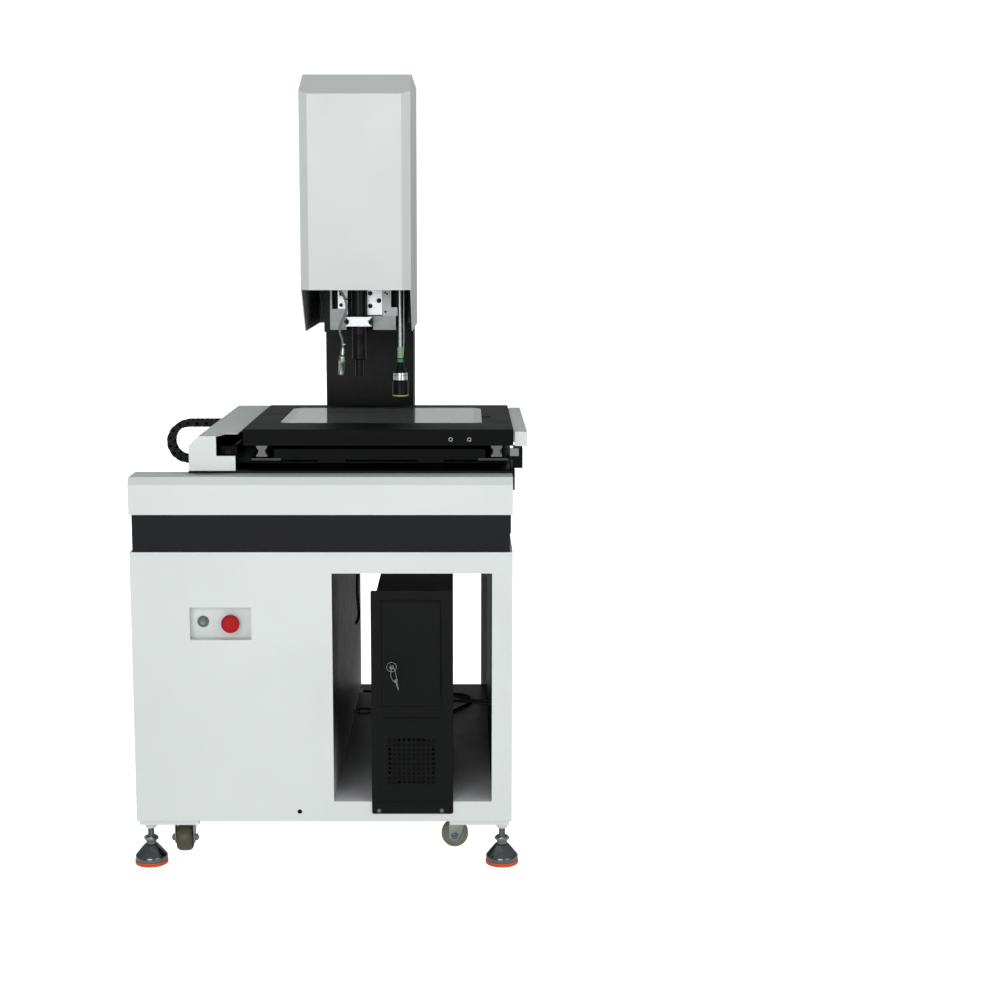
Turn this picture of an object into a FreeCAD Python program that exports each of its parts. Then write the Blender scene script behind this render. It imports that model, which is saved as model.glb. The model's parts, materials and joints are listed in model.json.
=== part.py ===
import FreeCAD, Part
import math
import os

# Video measuring machine: steel cabinet, granite base, crossed slides under a glass stage,
# and a vertical slide with the optics inside a sheet cover. Millimetres, +Z up.
# Working frame: X = 0 on the cabinet centre, Y = 0 on its front face, Z = 0 on the floor.

# Cabinet
cab_width = 820.0
cab_depth = 1030.0
cab_bottom = 115.0
cab_top = 712.0
sheet = 2.0
tube = 40.0
tube_wall = 3.0
deck_thick = 6.0
mat_thick = 3.0
bay_left = 22.0
fit_gap = 0.3

# Button recess in the front panel
recess_x, recess_z = -218.0, 556.0
recess_wide, recess_high, recess_deep = 132.0, 71.0, 25.0
start_dx, estop_dx = -40.5, 20.0
estop_drop = 2.0
button_hole_r = 11.2
start_bezel_r, start_cap_r = 12.5, 8.0
estop_r, estop_collar_r = 20.0, 15.0
start_barrel, estop_barrel = 28.0, 34.0
estop_stem_r, estop_head_high, estop_travel = 8.0, 15.0, 4.0
cable_hole_x, cable_hole_z, cable_hole_r = -53.0, 137.0, 5.0
louvre_x, louvre_z, louvre_pitch, louvre_high, louvre_count = (-330.0, -90.0), 480.0, 18.0, 6.0, 8

# Fascia band and front cover in front of the granite
band_top = 793.0
band_inset = 6.0
band_y = 4.0
cover_top = 873.0
cover_deep_left, cover_deep = 100.0, 73.0
cover_bevel_y, cover_bevel_z = 12.0, 15.5
flange_wide = 20.0

# Feet and casters
foot_dx, foot_dy = 390.0, 60.0
pad_r, pad_high = 36.5, 9.0
bell_r, bell_rim_high, cone_r, cone_high = 35.5, 11.0, 15.0, 24.0
neck_r, neck_high = 11.5, 16.0
nut_flat, nut_high = 30.0, 21.0
stud_r = 8.0
boss_r, boss_high = 16.0, 9.0
plate_size, plate_thick, plate_inset = 130.0, 10.0, 5.0
caster_dx, caster_dy = 315.0, 98.0
caster_plate, caster_plate_thick = 60.0, 4.0
caster_trail = 30.0
wheel_r, wheel_wide = 30.0, 34.0
wheel_clear = 26.0
axle_r, kingpin_r = 4.0, 4.0
fork_wall = 3.0
shaft_gap = 0.05

# Granite base and its guides
granite_x, granite_wide = 58.5, 699.0
granite_y0, granite_y1 = 75.0, 1020.0
granite_bottom, granite_top = 740.0, 880.0
granite_chamfer = 3.0
rail_groove = 6.0
x_rail_wide, x_rail_high = 15.0, 15.0
x_rail_y = (200.0, 480.0)
carriage_wide, carriage_long, carriage_high = 34.0, 61.0, 28.0
x_carriage_x = (11.0, 231.0)
trough_y, trough_wide, trough_deep = 340.0, 70.0, 60.0
x_axis_depth = 30.0
screw_r, nut_r, x_nut_shift = 8.0, 17.0, 17.0
end_plate_thick, end_plate_high, end_plate_y1 = 8.0, 44.0, 600.0
granite_pad_r, granite_pad_dx, granite_pad_dy = 40.0, 90.0, 110.0
motor_side, motor_long = 50.0, 75.0

# X saddle
saddle_x0, saddle_x1 = -91.0, 337.0
saddle_y0, saddle_y1 = 80.0, 600.0
saddle_thick = 23.0
web = 15.0
strip_high, strip_wide = 5.0, 48.0
strip_step = 3.0
bed_high = 9.0

# Stage plate, its rails and its glass
plate_x0, plate_x1 = -170.0, 412.0
plate_y0, plate_y1 = 60.0, 620.0
plate_z0, plate_high = 934.5, 35.0
y_rail_x = (-130.0, 376.0)
y_rail_size = 24.0
y_carriage_y = (294.0, 480.0)
y_carriage_long, y_carriage_wide = 70.0, 48.0
glass_x, glass_y = 120.5, 372.0
glass_wide, glass_deep, glass_thick = 450.0, 350.0, 8.0
glass_corner = 18.0
glass_ledge = 18.0
finger_x, finger_y, finger_wide, finger_deep = 20.0, 330.0, 18.0, 5.0
insert_x, insert_pitch, insert_z = 297.0, 40.0, 948.0
insert_r, insert_hole_r, insert_long = 4.5, 3.0, 14.0
scale_gap, scale_wide, scale_drop, scale_start = 3.0, 27.0, 6.0, 12.0
reader_x, reader_wide, reader_deep, reader_high = 405.5, 19.0, 6.0, 17.0
holder_x, holder_wide, holder_long, reader_drop = 413.5, 19.5, 60.0, 8.5
backlight_rise, backlight_thick = 4.0, 12.0

# Y drive beside the stage and its cover
drive_cover_x0, drive_cover_x1 = -285.0, -185.0
drive_cover_y0, drive_cover_y1 = 45.0, 740.0
drive_cover_top = 957.0
cover_chamfer = 21.0
notch_x, notch_deep, notch_lean = -226.0, 52.0, 15.0
notch_z = 914.0
y_axis_x, y_axis_z = -205.0, 918.0
y_screw_r, y_nut_r = 6.0, 11.0
y_motor_side, y_motor_long = 42.0, 60.0

# Drag chain
chain_y, chain_wide, chain_high = 449.0, 46.0, 16.0
chain_r = 43.0
chain_x = -345.0
chain_top_z = 944.0
chain_end_x, chain_low_x = -213.0, -303.0
chain_wall = 3.0
links_top, links_arc, links_low = 6, 7, 2
chain_foot = 5.0

# Column, head block and vertical slide
column_x0, column_x1 = -52.0, 174.0
column_y, column_deep = 872.0, 140.0
head_bottom, head_top, head_y = 1153.0, 1620.0, 540.0
head_x0, head_x1 = -30.0, 152.0
head_wall = 30.0
column_top = head_top
base_plate_x0, base_plate_x1 = -13.0, 138.0
base_plate_z0, base_plate_z1 = 1159.0, 1640.0
base_plate_thick = 20.0
z_rail_x = (18.0, 103.0)
z_rail_z0, z_rail_z1 = 1196.0, 1632.0
z_carriage_z = (1262.0, 1410.0)
z_carriage_wide = 28.0
z_plate_z0, z_plate_z1 = 1171.0, 1450.0
z_plate_thick = 10.0
z_axis_x = 60.0
z_screw_r, z_nut_r = 6.0, 11.0

# Sheet cover of the head
cover_x0, cover_x1 = -69.0, 184.0
cover_front_y, cover_back_y = 346.0, column_y
cover_face_z, cover_side_z = 1258.5, 1159.0
cover_peak_z, cover_slope_z, cover_slope_y = 1751.0, 1698.0, 476.0
cover_bevel = 20.0
cover_skirt_y = 466.0
cover_flange_x = (-38.0, 160.0)
louvre_rise = 60.0

# Optics on the slide
lens_x, lens_y = 58.5, 455.0
lens_r, lens_bottom, lens_top = 17.7, 1054.0, 1335.0
camera_side, camera_long = 44.0, 62.0
clamp_z0, clamp_z1 = 1171.5, 1193.5
clamp_x0, clamp_x1 = 27.5, 90.5
clamp_tip = 9.0
side_block_deep, side_block_z0, side_block_high = 8.0, 1161.5, 49.0
side_block_x0 = -11.0
ell_x0, ell_x1, ell_foot_x1 = 113.4, 133.4, 148.4
ell_z0, ell_foot_high, ell_high = 1194.4, 19.9, 195.0
probe_x, probe_y, probe_rod_r, probe_rod_long = 155.0, 455.0, 4.1, 200.0
probe_bottom = 1004.0
holder_z, holder_high = 1272.0, 20.0

# Computer case in the cabinet bay
pc_x0, pc_x1 = 108.0, 279.0
pc_deep, pc_high, pc_wall = 450.0, 430.0, 2.0
pc_panel_x0, pc_panel_x1 = 105.0, 282.0
pc_panel_z0, pc_panel_high, pc_panel_thick = 133.0, 496.0, 3.0
pc_panel_corner = 4.0
pc_panel_y = -3.0
ear_screw_x, ear_screw_z, ear_screw_r = (120.5, 257.5), 141.0, 2.4
key_proud = 24.0
door_x0, door_x1 = 127.5, 255.5
door_z0, door_z1 = 373.5, 605.5
door_thick, door_gap = 2.4, 0.8
lock_x, lock_z, lock_deep, cam_gap = 149.5, 462.0, 15.6, 1.0
vent_x, vent_z, vent_pitch, vent_hole, vent_count = 191.5, 252.0, 10.5, 5.6, 10

origin_x = (plate_x1 + 30.0 - foot_dx - pad_r) / 2
origin_y = (cab_depth + pc_panel_y - key_proud) / 2

half = cab_width / 2
ring_low_top = cab_bottom + tube
ring_high = cab_top - deck_thick - tube
bay_floor_z = ring_low_top + sheet + mat_thick
bay_right = half - sheet - tube - sheet
granite_x0 = granite_x - granite_wide / 2
granite_x1 = granite_x + granite_wide / 2
x_rail_z = granite_top - rail_groove
x_axis_z = granite_top - x_axis_depth
saddle_z = x_rail_z + carriage_high
saddle_top = saddle_z + saddle_thick
web_z = saddle_z + strip_step
strip_z = web_z - strip_high
y_rail_z = plate_z0 - y_rail_size
plate_top = plate_z0 + plate_high
axle_z = wheel_clear + wheel_r
fork_top = axle_z + wheel_r + 8.5

parts = {}


def vec(x, y, z):
    return FreeCAD.Vector(x, y, z)


def block(x0, x1, y0, y1, z0, z1):
    return Part.makeBox(x1 - x0, y1 - y0, z1 - z0, vec(x0, y0, z0))


def rod(radius, x, y, z, length, axis=(0, 0, 1)):
    return Part.makeCylinder(radius, length, vec(x, y, z), vec(*axis))


def outline(points):
    return Part.Face(Part.makePolygon(points + [points[0]]))


def prism_x(points, x0, x1):
    return outline([vec(x0, y, z) for y, z in points]).extrude(vec(x1 - x0, 0, 0))


def prism_y(points, y0, y1):
    return outline([vec(x, y0, z) for x, z in points]).extrude(vec(0, y1 - y0, 0))


def prism_z(points, z0, z1):
    return outline([vec(x, y, z0) for x, y in points]).extrude(vec(0, 0, z1 - z0))


def turned(profile, x, y, z=0.0):
    # profile is (radius, height) from the bottom up, closed along the axis
    pts = [vec(0, 0, profile[0][1])] + [vec(r, 0, h) for r, h in profile] + [vec(0, 0, profile[-1][1])]
    shape = outline(pts).revolve(vec(0, 0, 0), vec(0, 0, 1), 360)
    shape.translate(vec(x, y, z))
    return shape


def turned_y(profile, x, y, z):
    # the same profile turned about an axis along Y, with height running backwards from y
    shape = turned(profile, 0, 0)
    shape.rotate(vec(0, 0, 0), vec(1, 0, 0), -90)
    shape.translate(vec(x, y, z))
    return shape


def join(*shapes):
    return shapes[0].fuse(list(shapes[1:])).removeSplitter()


def cut(shape, *tools):
    return shape.cut(list(tools))


def add(node, *shapes):
    parts.setdefault(node, []).extend(shapes)


def hex_prism(x, y, z, flats, height):
    r = flats / math.sqrt(3)
    pts = [(x + r * math.cos(math.radians(60 * k)), y + r * math.sin(math.radians(60 * k)))
           for k in range(6)]
    return prism_z(pts, z, z + height)


def mirrored_corners(dx, dy):
    return [(sx * dx, y) for y in (dy, cab_depth - dy) for sx in (-1, 1)]


# Welded frame of square tube
def tube_member(x0, x1, y0, y1, z0, z1):
    spans = (x1 - x0, y1 - y0, z1 - z0)
    inner = [tube_wall if s <= tube + 0.01 else 0.0 for s in spans]
    bore = block(x0 + inner[0], x1 - inner[0], y0 + inner[1], y1 - inner[1], z0 + inner[2], z1 - inner[2])
    return block(x0, x1, y0, y1, z0, z1).cut(bore)


def make_frame():
    x_out = half - sheet
    y_rows = ((sheet, sheet + tube), (cab_depth - sheet - tube, cab_depth - sheet))
    post_rows = ((-x_out, -x_out + tube), (bay_left - sheet - tube, bay_left - sheet), (x_out - tube, x_out))
    for z in (cab_bottom, ring_high):
        for y0, y1 in y_rows:
            add("cabinet_frame", tube_member(-x_out, x_out, y0, y1, z, z + tube))
        for x0, x1 in post_rows:
            add("cabinet_frame", tube_member(x0, x1, y_rows[0][1], y_rows[1][0], z, z + tube))
    for y0, y1 in y_rows:
        for x0, x1 in post_rows:
            add("cabinet_frame", tube_member(x0, x1, y0, y1, ring_low_top, ring_high))


def make_panels():
    add("top_deck", block(-half, half, 0, cab_depth, cab_top - deck_thick, cab_top))
    bay = block(bay_left, bay_right, -1, cab_depth + 1, bay_floor_z, ring_high)
    rx0, rx1 = recess_x - recess_wide / 2, recess_x + recess_wide / 2
    rz0, rz1 = recess_z - recess_high / 2, recess_z + recess_high / 2
    skin_top = cab_top - deck_thick
    pocket = block(rx0, rx1, -1, recess_deep, rz0, rz1)
    pocket_skin = block(rx0 - sheet, rx1 + sheet, 0, recess_deep + sheet, rz0 - sheet, rz1 + sheet)
    front = join(block(-half, half, 0, sheet, cab_bottom, skin_top), pocket_skin)
    holes = [rod(button_hole_r, recess_x + dx, 0, z, recess_deep + 2 * sheet, (0, 1, 0))
             for dx, z in ((start_dx, recess_z), (estop_dx, recess_z - estop_drop))]
    cable_hole = rod(cable_hole_r, cable_hole_x, -1, cable_hole_z, 2 * sheet, (0, 1, 0))
    ear_holes = [rod(ear_screw_r + shaft_gap, x, -1, ear_screw_z, 2 * sheet, (0, 1, 0))
                 for x in ear_screw_x]
    add("front_panel", cut(front, pocket, bay, cable_hole, *holes, *ear_holes))
    side_y = (sheet, cab_depth - sheet)
    add("side_panels", block(-half, -half + sheet, *side_y, cab_bottom, skin_top))
    add("side_panels", block(half - sheet, half, *side_y, cab_bottom, skin_top))
    louvres = [block(*louvre_x, cab_depth - sheet - 1, cab_depth + 1, z, z + louvre_high)
               for z in [louvre_z + louvre_pitch * k for k in range(louvre_count)]]
    rear_bay = block(bay_left, bay_right - web, 0, cab_depth + 1, bay_floor_z, ring_high)
    rear = block(-half, half, cab_depth - sheet, cab_depth, cab_bottom, skin_top)
    add("rear_panel", cut(rear, rear_bay, *louvres))
    inside = (-half + sheet, half - sheet, sheet, cab_depth - sheet)
    notches = [block(x0, x1, y0, y1, cab_bottom, cab_top)
               for y0, y1 in ((0, sheet + tube), (cab_depth - sheet - tube, cab_depth))
               for x0, x1 in ((-half, -half + sheet + tube), (bay_left - sheet - tube, bay_left - sheet),
                              (half - sheet - tube, half))]
    add("inner_panels", cut(block(*inside, ring_low_top, ring_low_top + sheet), *notches))
    lining_z = (ring_low_top + sheet, ring_high)
    add("inner_panels", block(bay_left - sheet, bay_left, sheet, cab_depth - sheet, *lining_z))
    add("inner_panels", block(bay_right, bay_right + sheet, sheet, cab_depth - sheet, *lining_z))
    add("inner_panels", block(bay_left, bay_right, sheet, cab_depth - sheet, ring_low_top + sheet,
                              bay_floor_z))


def make_buttons():
    wall_y = recess_deep
    sx, ex = recess_x + start_dx, recess_x + estop_dx
    ez = recess_z - estop_drop
    stem_r = estop_stem_r
    # start button: a metal bezel with a sprung cap, on a barrel behind the wall
    barrel_r = button_hole_r - 0.2
    flange = turned_y([(start_bezel_r - 1.0, 0), (start_bezel_r, 1.5), (start_bezel_r, 3.0)],
                      sx, wall_y - 3.0, recess_z)
    barrel = rod(barrel_r, sx, wall_y, recess_z, start_barrel, (0, 1, 0))
    bore = rod(start_cap_r + fit_gap, sx, wall_y - 4.0, recess_z, 10.0, (0, 1, 0))
    add("button_bodies", cut(join(flange, barrel), bore))
    cap = [(start_cap_r - 0.6, 0), (start_cap_r, 0.6), (start_cap_r, 5.5)]
    add("start_button", turned_y(cap, sx, wall_y - 3.6, recess_z))
    collar = turned_y([(estop_collar_r - 1.0, 0), (estop_collar_r, 1.0), (estop_collar_r, 6.0)],
                      ex, wall_y - 6.0, ez)
    e_barrel = rod(barrel_r, ex, wall_y, ez, estop_barrel, (0, 1, 0))
    e_bore = rod(stem_r + fit_gap, ex, wall_y - 7.0, ez, 22.0, (0, 1, 0))
    add("button_bodies", cut(join(collar, e_barrel), e_bore))
    face_y = wall_y - 6.0 - estop_travel - 1.0 - estop_head_high
    add("estop_stem", rod(stem_r, ex, face_y + 10.0, ez, 18.0, (0, 1, 0)))
    dome = [(9.0, 0), (15.5, 1.4), (18.8, 4.2), (estop_r, 7.5), (estop_r, 10.5), (18.0, estop_head_high)]
    socket = rod(stem_r + shaft_gap, ex, face_y + 10.0, ez, 10.0, (0, 1, 0))
    add("estop_head", cut(turned_y(dome, ex, face_y, ez), socket))


def make_feet():
    for x, y in mirrored_corners(foot_dx, foot_dy):
        add("foot_pads", turned([(pad_r - 1.0, 0), (pad_r, 1.0), (pad_r, pad_high)], x, y))
        z1 = pad_high + bell_rim_high
        z2, z3 = z1 + cone_high, z1 + cone_high + neck_high
        bell = [(bell_r, pad_high), (bell_r, z1), (cone_r, z2), (neck_r, z2 + 1.0), (neck_r, z3)]
        add("foot_stems", turned(bell, x, y))
        hole = rod(stud_r + shaft_gap, x, y, z3, cab_bottom)
        add("foot_stems", cut(hex_prism(x, y, z3, nut_flat, nut_high), hole))
        add("foot_stems", rod(stud_r, x, y, z3, cab_bottom - z3))
        plate_low = cab_bottom - plate_thick
        bolt_hole = rod(stud_r + shaft_gap, x, y, 0, cab_bottom)
        px0 = -half + plate_inset if x < 0 else half - plate_inset - plate_size
        py0 = plate_inset if y < cab_depth / 2 else cab_depth - plate_inset - plate_size
        plate = block(px0, px0 + plate_size, py0, py0 + plate_size, plate_low, cab_bottom)
        add("corner_plates", cut(plate, bolt_hole))
        add("corner_plates", cut(rod(boss_r, x, y, plate_low - boss_high, boss_high), bolt_hole))


def fork_shapes(angle, x, y):
    inside = wheel_wide / 2 + 2.0
    outside = inside + fork_wall
    crown_z = fork_top - fork_wall
    crown = block(-13.0, 13.0, -outside, outside, crown_z, fork_top)
    legs = []
    for n in (-outside, inside):
        leg = prism_y([(-13.0, fork_top), (13.0, fork_top), (caster_trail + 10.0, axle_z + 6.6),
                       (caster_trail - 10.4, axle_z - 6.0)], n, n + fork_wall)
        legs.append(leg.fuse(rod(12.0, caster_trail, n, axle_z, fork_wall, (0, 1, 0))))
    axle_hole = rod(axle_r, caster_trail, -outside, axle_z, 2 * outside, (0, 1, 0))
    pin_hole = rod(kingpin_r + shaft_gap, 0, 0, crown_z - 1.0, fork_wall + 2.0)
    fork = cut(join(crown, *legs), axle_hole, pin_hole)
    bolt = join(rod(axle_r, caster_trail, -outside, axle_z, 2 * outside, (0, 1, 0)),
                rod(7.0, caster_trail, -outside - 4.0, axle_z, 4.0, (0, 1, 0)),
                rod(7.0, caster_trail, outside, axle_z, 4.0, (0, 1, 0)))
    half_wide = wheel_wide / 2
    tread = [(14.0, -half_wide - 1.0), (14.0, -half_wide), (wheel_r - 4.0, -half_wide),
             (wheel_r - 1.2, -half_wide + 1.2), (wheel_r, -half_wide + 4.0), (wheel_r, half_wide - 4.0),
             (wheel_r - 1.2, half_wide - 1.2), (wheel_r - 4.0, half_wide), (14.0, half_wide),
             (14.0, half_wide + 1.0)]
    wheel = turned(tread, 0, 0)
    wheel.rotate(vec(0, 0, 0), vec(1, 0, 0), 90)
    wheel.translate(vec(caster_trail, 0, axle_z))
    wheel = wheel.cut(rod(axle_r + shaft_gap, caster_trail, -outside, axle_z, 2 * outside, (0, 1, 0)))
    for s in (fork, bolt, wheel):
        s.rotate(vec(0, 0, 0), vec(0, 0, 1), angle)
        s.translate(vec(x, y, 0))
    return [fork, bolt], wheel


def make_casters():
    names = ("front_left", "front_right", "rear_left", "rear_right")
    angles = (-90.0, 180.0, 118.0, 65.0)
    for name, angle, (x, y) in zip(names, angles, mirrored_corners(caster_dx, caster_dy)):
        top = cab_bottom - plate_thick
        low = top - caster_plate_thick
        a = caster_plate / 2
        add("corner_plates", block(x - a, x + a, y - a, y + a, low, top))
        race = turned([(kingpin_r, fork_top + fit_gap), (19.0, fork_top + fit_gap), (24.0, low - 2.0),
                       (24.0, low)], x, y)
        pin = join(rod(kingpin_r, x, y, fork_top - fork_wall - 3.0, low - fork_top + fork_wall + 3.0),
                   rod(6.5, x, y, fork_top - fork_wall - 3.0, 3.0 - fit_gap), race)
        add("corner_plates", pin)
        fork, wheel = fork_shapes(angle, x, y)
        add("caster_fork_" + name, *fork)
        add("caster_wheel_" + name, wheel)


def make_fascia():
    x1 = half - band_inset
    y0 = band_y
    back = cover_deep - 3.0
    outer = block(-x1, x1, y0, back, cab_top, band_top)
    inner = block(-x1 + sheet, x1 - sheet, y0 + sheet, back + 1, cab_top - 1, band_top + 1)
    foot = block(-x1, x1, y0, y0 + flange_wide, cab_top, cab_top + sheet)
    add("fascia_band", join(outer.cut(inner), foot))
    bevel = [(0, band_top), (0, cover_top - cover_bevel_z), (cover_bevel_y, cover_top),
             (cover_deep_left, cover_top), (cover_deep_left, band_top)]
    body = prism_x(bevel, -half, half)
    low = cover_top - sheet
    inner_pts = [(sheet, band_top - 1), (sheet, low - cover_bevel_z), (cover_bevel_y + 1.0, low),
                 (cover_deep_left - sheet, low), (cover_deep_left - sheet, band_top - 1)]
    hollow = prism_x(inner_pts, -half + sheet, half - sheet)
    clear = block(granite_x0 - 2.0, half + 1, cover_deep, cover_deep_left + 1, band_top - 1, cover_top + 1)
    lips = [block(-half + sheet, half - sheet, sheet, flange_wide, band_top, band_top + sheet),
            block(-half + sheet, granite_x0 - 2.0, cover_deep - flange_wide, cover_deep_left - sheet,
                  band_top, band_top + sheet)]
    add("front_cover", join(cut(body, hollow, clear), *lips))


def make_granite():
    body = block(granite_x0, granite_x1, granite_y0, granite_y1, granite_bottom, granite_top)
    top_edges = [e for e in body.Edges if all(abs(v.Z - granite_top) < 0.01 for v in e.Vertexes)]
    body = body.makeChamfer(granite_chamfer, top_edges)
    grooves = [block(granite_x0 - 1, granite_x1 + 1, y - x_rail_wide / 2 - fit_gap,
                     y + x_rail_wide / 2 + fit_gap, x_rail_z, granite_top + 1) for y in x_rail_y]
    trough = block(granite_x0 + 20.0, granite_x1 - 15.0, trough_y - trough_wide / 2,
                   trough_y + trough_wide / 2, granite_top - trough_deep, granite_top + 1)
    add("granite_base", cut(body, trough, *grooves))
    for x in (granite_x0 + granite_pad_dx, granite_x1 - granite_pad_dx):
        for y in (granite_y0 + granite_pad_dy, granite_y1 - granite_pad_dy):
            add("top_deck", rod(granite_pad_r, x, y, cab_top, granite_bottom - cab_top))
    add("x_drive_unit", block(granite_x1, granite_x1 + end_plate_thick, granite_y0, end_plate_y1,
                              granite_top - end_plate_high, granite_top))
    for y in x_rail_y:
        add("x_rails", rail_x(y))


def rail_section(wide, high):
    # ball-rail section: a foot and a head with a waist between them
    w, waist = wide / 2, wide / 2 - 0.2 * wide
    return [(-w, 0), (w, 0), (w, 0.12 * high), (waist, 0.40 * high), (waist, 0.60 * high),
            (w, 0.86 * high), (w, high), (-w, high), (-w, 0.86 * high), (-waist, 0.60 * high),
            (-waist, 0.40 * high), (-w, 0.12 * high)]


def rail_x(y):
    pts = [(y + a, x_rail_z + b) for a, b in rail_section(x_rail_wide, x_rail_high)]
    return prism_x(pts, granite_x0 + 6.0, granite_x1 - 6.0)


def make_x_drive():
    x0, x1 = granite_x0 + 20.0, granite_x1 - 15.0
    floor = granite_top - trough_deep
    side = motor_side / 2
    motor_x = x1 - motor_long
    left_x, right_x = x0 + 6.0, motor_x - 52.0
    for x in (left_x, right_x):
        housing = block(x, x + 20.0, trough_y - side, trough_y + side, floor, x_axis_z + side * 0.9)
        bore = rod(screw_r + shaft_gap, x - 1, trough_y, x_axis_z, 22.0, (1, 0, 0))
        add("x_drive_unit", housing.cut(bore))
    add("x_drive_unit", motor_body(motor_side, motor_long, x1, trough_y, x_axis_z, (-1, 0, 0)))
    bridge = block(motor_x - 6.0, motor_x, trough_y - side, trough_y + side, floor, x_axis_z + side)
    add("x_drive_unit", bridge.cut(rod(16.0, motor_x - 8.0, trough_y, x_axis_z, 10.0, (1, 0, 0))))
    screw = join(rod(screw_r, left_x + 2.0, trough_y, x_axis_z, motor_x - left_x - 34.0, (1, 0, 0)),
                 rod(14.0, motor_x - 31.5, trough_y, x_axis_z, 31.0, (1, 0, 0)))
    add("x_screw", screw)
    nut_x = (x_carriage_x[0] + x_carriage_x[1]) / 2 - x_nut_shift
    nut = join(rod(nut_r, nut_x - 20.0, trough_y, x_axis_z, 40.0, (1, 0, 0)),
               block(nut_x - 20.0, nut_x + 20.0, trough_y - 16.0, trough_y + 16.0, x_axis_z, saddle_z))
    add("saddle", nut.cut(rod(screw_r + shaft_gap, nut_x - 30.0, trough_y, x_axis_z, 60.0, (1, 0, 0))))


def motor_body(side, long, x, y, z, axis):
    # square motor with cut corners; (x, y, z) is the middle of its back, axis points to its front
    a, c = side / 2, side * 0.12
    pts = [(-a, -a + c), (-a + c, -a), (a - c, -a), (a, -a + c), (a, a - c), (a - c, a), (-a + c, a),
           (-a, a - c)]
    body = prism_z(pts, 0, long)
    body.Placement = FreeCAD.Placement(vec(x, y, z), FreeCAD.Rotation(vec(0, 0, 1), vec(*axis)))
    return body


def carriage(along, x, y, z, wide, long, high, rail_wide, rail_high):
    # a block riding over a rail that lies along X or Y, or over its underside when high is negative
    body = block(-long / 2, long / 2, -wide / 2, wide / 2, 0, abs(high))
    gap = rail_wide / 2 + fit_gap
    body = body.cut(block(-long, long, -gap, gap, -1, rail_high + fit_gap))
    if high < 0:
        body.rotate(vec(0, 0, 0), vec(1, 0, 0), 180)
    if along == "y":
        body.rotate(vec(0, 0, 0), vec(0, 0, 1), 90)
    body.translate(vec(x, y, z))
    return body


def make_saddle():
    x0, x1 = saddle_x0, saddle_x1
    hat = [(x0 - web, web_z), (x0, web_z), (x0, saddle_z), (x1, saddle_z), (x1, web_z),
           (x1 + web, web_z), (x1 + web, saddle_top), (x0 - web, saddle_top)]
    add("saddle", prism_y(hat, saddle_y0, saddle_y1))
    outer_l = y_rail_x[0] - strip_wide / 2
    outer_r = y_rail_x[1] + strip_wide / 2
    add("saddle_guides", block(outer_l, x0, saddle_y0, saddle_y1, strip_z, web_z))
    add("saddle_guides", block(x1, outer_r, saddle_y0, saddle_y1, strip_z, web_z))
    bed_left = drive_cover_x0 + sheet
    add("saddle", block(bed_left, outer_l, saddle_y0 + 10.0, saddle_y1, web_z - bed_high, web_z))
    reach = carriage_long
    for x in x_carriage_x:
        for y in x_rail_y:
            block_x = carriage("x", x, y, x_rail_z, carriage_wide, carriage_long, carriage_high,
                               x_rail_wide, x_rail_high)
            foot = block(x - reach, x + reach, y - reach, y + reach, x_rail_z - 1, granite_top + 1.5)
            add("saddle_guides", block_x.cut(foot))
    reach = y_carriage_long
    for x in y_rail_x:
        for y in y_carriage_y:
            mid_y = y + y_carriage_long / 2
            block_y = carriage("y", x, mid_y, plate_z0, y_carriage_wide, y_carriage_long,
                               -(plate_z0 - web_z), y_rail_size, y_rail_size)
            foot = block(x - reach, x + reach, mid_y - reach, mid_y + reach, plate_z0 - 4.0, plate_z0 + 1)
            add("saddle_guides", block_y.cut(foot))
        sec = [(x + a, y_rail_z + b) for a, b in rail_section(y_rail_size, y_rail_size)]
        add("y_rails", prism_y(sec, plate_y0, plate_y1))
    # reader of the linear scale, on an arm at the right
    ry0, ry1 = saddle_y0 + 10.0, saddle_y0 + 10.0 + holder_long
    reader_top = plate_z0 - reader_drop
    holder = join(block(holder_x, holder_x + holder_wide, ry0, ry1, granite_top + 2.0, reader_top),
                  block(outer_r, holder_x, ry0, ry1, strip_z, web_z))
    add("scale_reader", holder)
    add("scale_reader", block(reader_x, reader_x + reader_wide, ry0 - reader_deep, ry0,
                              reader_top - reader_high, reader_top))


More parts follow.
